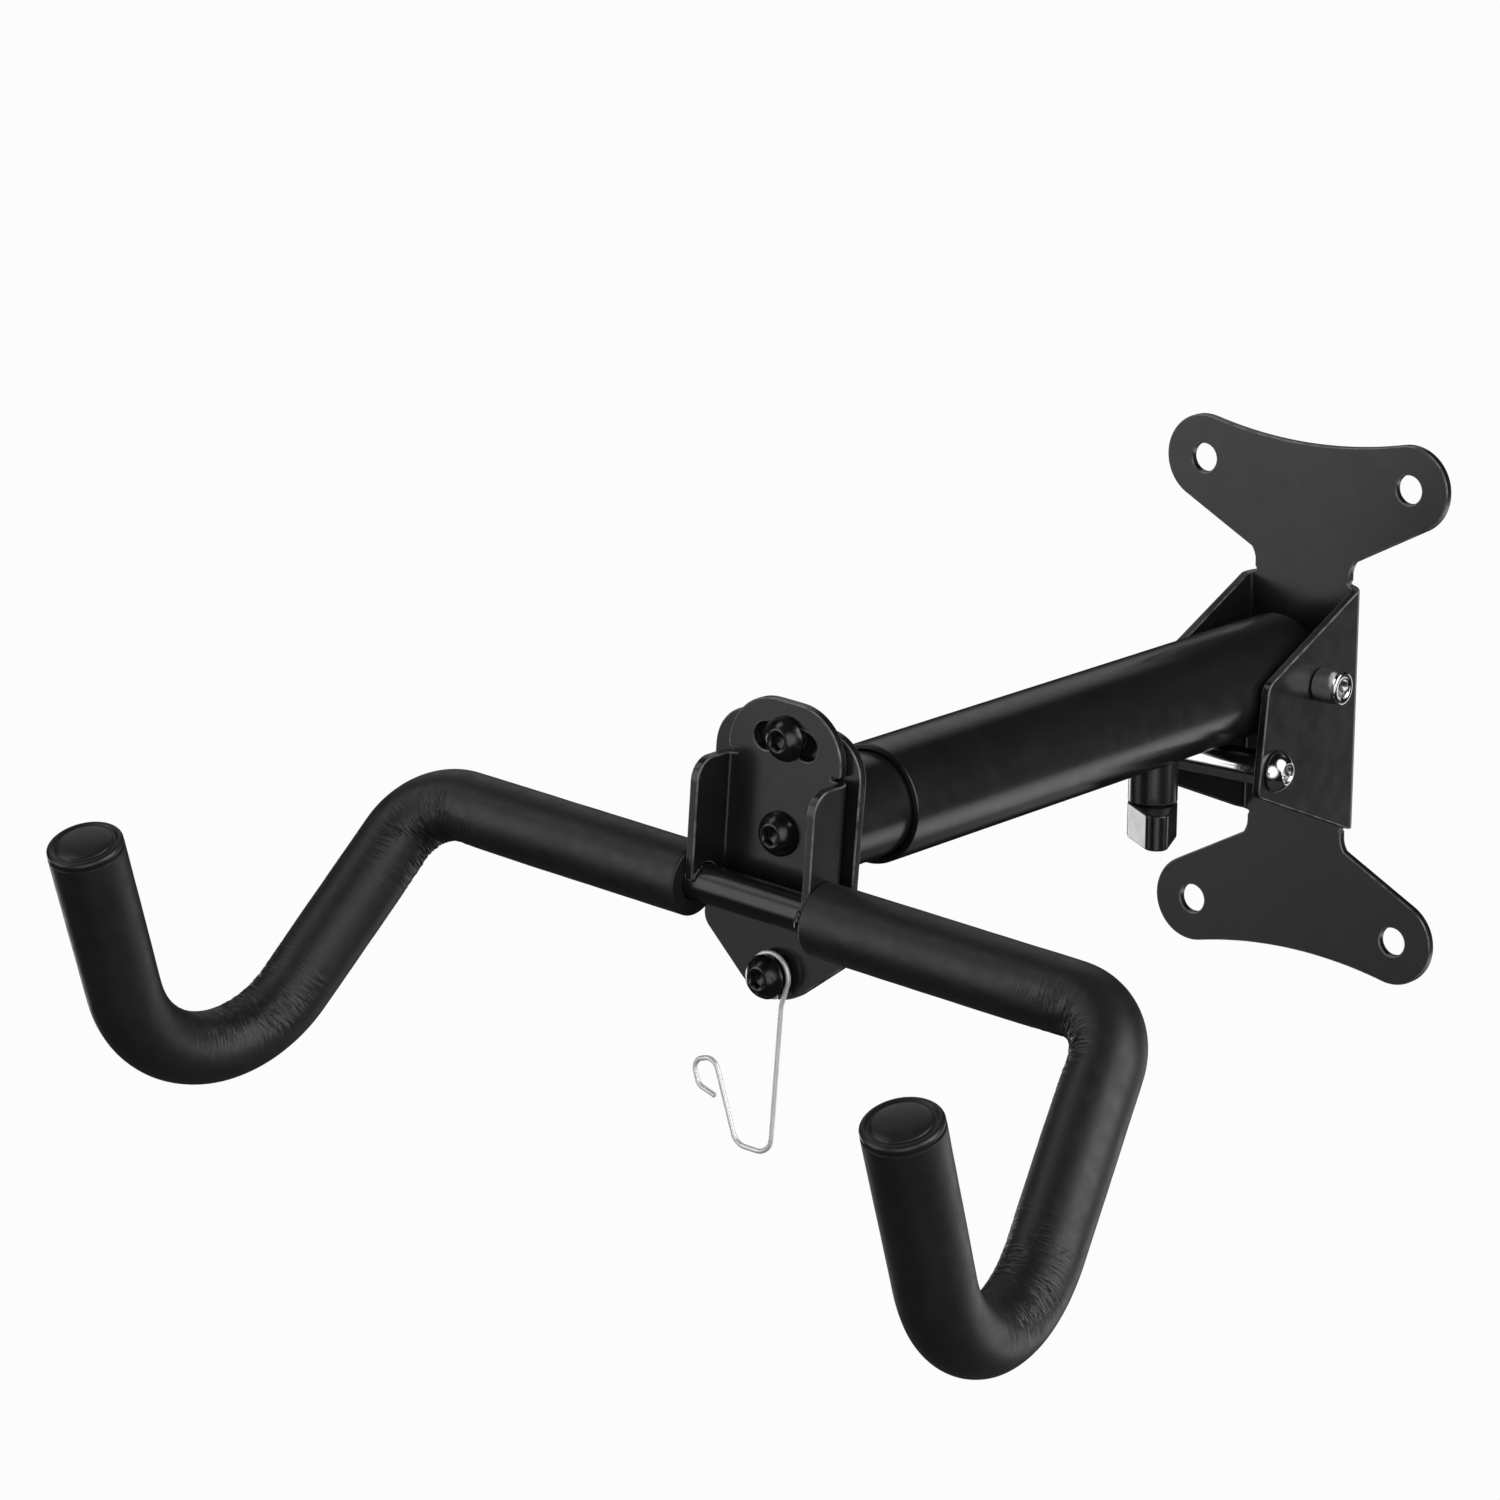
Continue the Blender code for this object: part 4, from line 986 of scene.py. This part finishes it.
def front_plate(paint, weld):
    middle = (WEB_FRONT + WEB_BACK) / 2
    bend_x = CHEEK_IN - BEND_IN
    bottom = BAR_Z
    relief = CHEEK_TOP + RELIEF_Z
    right = [(bend_x, bottom), (bend_x, CHEEK_TOP), (bend_x - RELIEF_X, CHEEK_TOP + 0.2 * MM),
             (bend_x - RELIEF_X, relief), (TONGUE_X, relief), (TONGUE_X, TONGUE_TOP)]
    radii = [0.0, 0.0, 0.0, 0.0, 0.8 * MM, TONGUE_CORNER]
    edge = rounded(right + [(-x, z) for x, z in reversed(right)], radii + radii[::-1], 14)
    end, cap, up = SLOT_HALF_ANGLE, SLOT_HALF_WIDTH, pi / 2
    slot = arc((0, 0), SLOT_RADIUS + cap, up - end, up + end, 16)
    slot += arc((-SLOT_RADIUS * sin(end), SLOT_RADIUS * cos(end)), cap, up + end, up + end + pi, 16)[1:]
    slot += arc((0, 0), SLOT_RADIUS - cap, up + end, up - end, 16)[1:]
    slot += arc((SLOT_RADIUS * sin(end), SLOT_RADIUS * cos(end)), cap, -up - end, up - end, 16)[1:-1]
    panels = [([edge, slot, circle((0, 0), SHANK_HOLE_R, 32)], lambda u, v: Vector((u, middle, v)))]
    strips = []
    saddle = BAR_R + GAP + 0.1 * MM
    for side in (1, -1):
        rows = bend_rows(side, bend_x, middle)
        strips.append(([(x, y, bottom) for x, y in rows], [(x, y, CHEEK_TOP) for x, y in rows]))
        back = rows[-1][1]
        touch = acos(-CHEEK_FRONT / saddle)
        edge = [(back, bottom), (back, CHEEK_TOP)]
        edge += rounded([(0.0, CHEEK_TOP), (-CHEEK_FRONT, CHEEK_TOP), (-CHEEK_FRONT, 0.0)],
                        [0.0, CHEEK_CORNER, 0.0], 12, closed=False)[1:-1]
        edge += [Vector((y, BAR_Z + z)) for y, z in arc((0, 0), saddle, touch, 0.0, 20)]
        panels.append(([edge], lambda u, v, x=rows[-1][0]: Vector((x, u, v))))
    data = folded_sheet("front_sheet", panels, strips, FRONT_FRAME)
    add_piece("front_sheet", data, "head", paint, "black_paint", "front_plate")
    for side, word in SIDE_NAMES.items():
        name = "bar_weld_" + word[0]
        add_piece(name, bar_weld(name, side), "head", weld, "black_paint")


def bar_weld(name, side):
    """Small lumpy bead in the corner between the bar and a flange's front edge."""
    count, sides = 64, 16
    first, last = (150, 225) if side > 0 else (105, 165)
    path, radii = [], np.zeros((count, sides))
    for k in range(count):
        share = k / (count - 1)
        angle = radians(first + (last - first) * share)
        reach = BAR_R + 0.1 * MM
        path.append((side * (CHEEK_IN - 0.2 * MM), reach * cos(angle), BAR_Z + reach * sin(angle)))
        size = (1.5 if side > 0 else 1.0) * MM * (sin(pi * (0.06 + 0.88 * share)) ** 0.6)
        for i in range(sides):
            lump = noise.noise(Vector((share * 4.5, cos(2 * pi * i / sides), side * 3.0)))
            radii[k, i] = size * (1.0 + 0.35 * lump + 0.06 * sin(share * 22))
    path = np.array(path)
    return skin(name, path, radii, frames_along(path, (side, 0.1, 0.1)), FRONT_FRAME, 60.0)


def hook_path(side, count=36):
    """Centre line of half the bar, from its middle to the tip of one hook."""
    points = [Vector((0, 0, BAR_Z)), HOOK_CORNER, HOOK_LOW, HOOK_TIP]
    path = rounded(points, [0.0, CORNER_RADIUS, LOW_RADIUS, 0.0], count, closed=False)
    return [Vector((side * point.x, point.y, point.z)) for point in path]


def bar(paint):
    tip_way = (HOOK_TIP - HOOK_LOW).normalized()
    half = hook_path(1)[1:-1] + [HOOK_TIP - tip_way * 3.3 * MM]
    whole = [Vector((-p.x, p.y, p.z)) for p in reversed(half)] + half
    data = round_bar("bent_bar", whole, BAR_R, FRONT_FRAME)
    add_piece("bent_bar", data, "head", paint, "black_paint", "hook_bar")


def curvature(points):
    """Curvature of the path at each point, as a vector to the inside of the bend."""
    tangents = np.gradient(points, axis=0)
    lengths = np.linalg.norm(tangents, axis=1)[:, None]
    return np.gradient(tangents / lengths, axis=0) / lengths


def blur(values, places, reach):
    """Values along the path averaged over a distance on each side."""
    gaps = np.exp(-0.5 * ((places[:, None] - places[None, :]) / reach) ** 2)
    weights = gaps * np.gradient(places)[None, :]
    return (weights @ values) / weights.sum(axis=1)[:, None]


def foam(side, word, skin_look):
    """Foam sleeve with the fine creases that its bends push up on their inner side."""
    path = hook_path(side)
    tip_way = (path[-1] - path[-2]).normalized()
    route = [Vector((side * FOAM_START, 0, BAR_Z))] + path[1:-1] + [path[-1] - tip_way * (CAP_RIM + GAP)]
    coarse, places = along(route, 1.0 * MM)
    bend = np.linalg.norm(curvature(smooth_path(coarse, 6)), axis=1) * CORNER_RADIUS
    busy = blur(bend[:, None], places, BEND_BLUR)[:, 0]

    def spacing(distance):
        return FINE_RINGS if np.interp(distance, places, busy) > 0.06 else PLAIN_RINGS
    points, places = along(route, spacing)
    points = smooth_path(points, 3)
    frames = frames_along(points, (0.0, 0.0, 1.0))
    inward = blur(curvature(smooth_path(points, 12)), places, BEND_BLUR)
    length = np.linalg.norm(inward, axis=1)
    strength = np.clip(length * CORNER_RADIUS * 1.9, 0.0, 1.0)
    inward /= np.maximum(length, 1e-9)[:, None]
    across = np.arctan2((inward * frames[2]).sum(1), (inward * frames[1]).sum(1))
    sides = 112
    angles = 2 * pi * np.arange(sides) / sides

    def nearest(corner):
        return places[np.argmin(np.linalg.norm(points - np.array(corner) * (side, 1.0, 1.0), axis=1))]
    strength *= np.clip(0.75 - (places - nearest(HOOK_LOW)) / (30.0 * MM), 0.12, 1.0)
    fold = FOLD * np.exp(-((places - nearest(HOOK_CORNER)) / FOLD) ** 2)
    swell = np.clip((places - places[-1]) / FOAM_SWELL_LONG + 1.0, 0.0, 1.0)
    radii = np.repeat(FOAM_R + FOAM_SWELL * swell[:, None], sides, axis=1)
    for k in range(len(points)):
        away = (angles - across[k] + pi) % (2 * pi) - pi
        inner = np.clip((CREASE_END - np.abs(away)) / (CREASE_END - CREASE_FULL), 0.0, 1.0)
        for i in range(sides):
            place = Vector((places[k] / MM, away[i] * FOAM_R / MM, side * 40.0))
            radii[k, i] += 0.05 * MM * noise.noise(place * 0.11)
            weight = strength[k] * inner[i]
            if weight > 0.03:
                radii[k, i] -= creases(place) * weight
        radii[k] -= (PINCH * strength[k] + fold[k]) * np.exp(-(away / PINCH_ANGLE) ** 2)
    turns = np.linspace(0.25, pi / 2, 6)
    start = [(-FOAM_EDGE * sin(a), FOAM_R - FOAM_EDGE * (1 - cos(a))) for a in turns]
    start += [(-FOAM_EDGE, BAR_R + 0.8 * MM), (-FOAM_EDGE + 0.4 * MM, BAR_R + 0.25 * MM),
              (6.0 * MM, BAR_R + 0.2 * MM)]
    tip_r = FOAM_R + FOAM_SWELL
    finish = [(-FOAM_EDGE * sin(a) * 0.3, tip_r - FOAM_EDGE * (1 - cos(a))) for a in turns]
    finish += [(-FOAM_EDGE * 0.3, FOAM_BORE), (8.0 * MM, FOAM_BORE)]
    rings = points.copy()
    rings[0] += (points[1] - points[0]) / np.linalg.norm(points[1] - points[0]) * FOAM_EDGE
    name = "foam_sleeve_" + word[0]
    data = skin(name, rings, radii, frames, FRONT_FRAME, 40.0, (start, finish))
    piece = add_piece(name, data, "head", skin_look, "foam", "foam_" + word)


def creases(place):
    """Depth in metres of the creases at a place (along, across, seed) given in millimetres."""
    warp = noise.noise(Vector((place.x * 0.12, place.y * 0.16, place.z + 7.0)))
    fine = noise.noise(Vector((place.x * 1.15 + warp * 1.3, place.y * 0.10, place.z)))
    middle = noise.noise(Vector((place.x * 0.70 + warp * 1.0, place.y * 0.08, place.z + 3.0)))
    patch = noise.noise(Vector((place.x * 0.09, place.y * 0.11, place.z + 21.0)))
    small = max(0.0, 1.0 - abs(fine) * 2.6) ** 1.5
    deep = max(0.0, 1.0 - abs(middle) * 3.4) ** 2
    return (FINE_CREASE * small + DEEP_CREASE * deep) * max(0.2, min(1.0, 0.8 + patch * 1.8))


def end_cap(side, word, rubber):
    """Domed cap with a round rim over the foam's end and a cup round the bar's end."""
    path = hook_path(side)
    way = (path[-1] - path[-2]).normalized()
    place = FRONT_FRAME @ aim(path[-1], way)
    rim = 1.25 * MM
    rings = [(0.0, -3.0 * MM), (6.4 * MM, -3.0 * MM), (6.4 * MM, -10.0 * MM), (CAP_CUP, -10.0 * MM),
             (CAP_CUP, -CAP_RIM), (CAP_R - 0.5 * MM, -CAP_RIM)]
    rings += [(CAP_R - rim + rim * cos(a), -rim + rim * sin(a)) for a in np.linspace(-0.9, 1.9, 14)]
    rings += [(9.6 * MM, -0.42 * MM), (9.3 * MM, -0.42 * MM), (9.0 * MM, -0.34 * MM)]
    rings += [(CAP_DOME * cos(a), 1.3 * MM * sin(a) - 0.25 * MM) for a in np.linspace(0.06, 1.45, 16)]
    rings.append((0.0, 1.05 * MM))
    name = "tip_cap_" + word[0]
    add_piece(name, turned(name, rings, place), "head", rubber, "cap_plastic", "end_cap_" + word)


# Wire hook --------

WIRE_R = 0.8 * MM
WIRE_RING_R = 6.9 * MM


def wire_hook(steel):
    """Ring round its screw, a straight leg, an open hook and a curled end."""
    leave = radians(-25)
    loop = [Vector(p) for p in arc((0, 0), WIRE_RING_R, radians(-70) + 2 * pi, leave, 60)]
    corners = [(4.2, -9.0), (0.2, -57.8), (-13.2, -57.0), (-21.8, -30.6), (-30.4, -33.4), (-28.0, -41.0)]
    radii = [6.0, 5.5, 5.0, 4.0, 3.6, 3.0]
    points = [loop[-1]] + [Vector(p) * MM for p in corners] + [Vector((-21.6, -43.2)) * MM]
    leg = rounded(points, [0.0] + [r * MM for r in radii] + [0.0], 14, closed=False)
    path = [Vector((p.x, 0, p.y)) for p in loop + leg[1:]]
    data = round_bar("bent_wire", path, WIRE_R, Matrix.Translation(WIRE_PIVOT), 16, 0.5 * MM, 0.15 * MM)
    add_piece("bent_wire", data, "wire", steel, "bright_wire", "wire_hook")


# The whole rack --------

def build():
    paint, zinc, oxide = powder_coat(), bright_zinc(), black_oxide()
    plastic, rubber, weld = moulded_plastic(), cap_rubber(), weld_steel()
    foam_look, steel = foam_skin(), bright_wire()
    wall_bracket(paint)
    bracket_fasteners(zinc)
    arm(paint, zinc)
    clamp(plastic, zinc)
    spindle(paint, oxide, weld)
    front_plate(paint, weld)
    bar(paint)
    for side, word in SIDE_NAMES.items():
        foam(side, word, foam_look)
        end_cap(side, word, rubber)
    wire_hook(steel)


add_camera()
studio()
build()
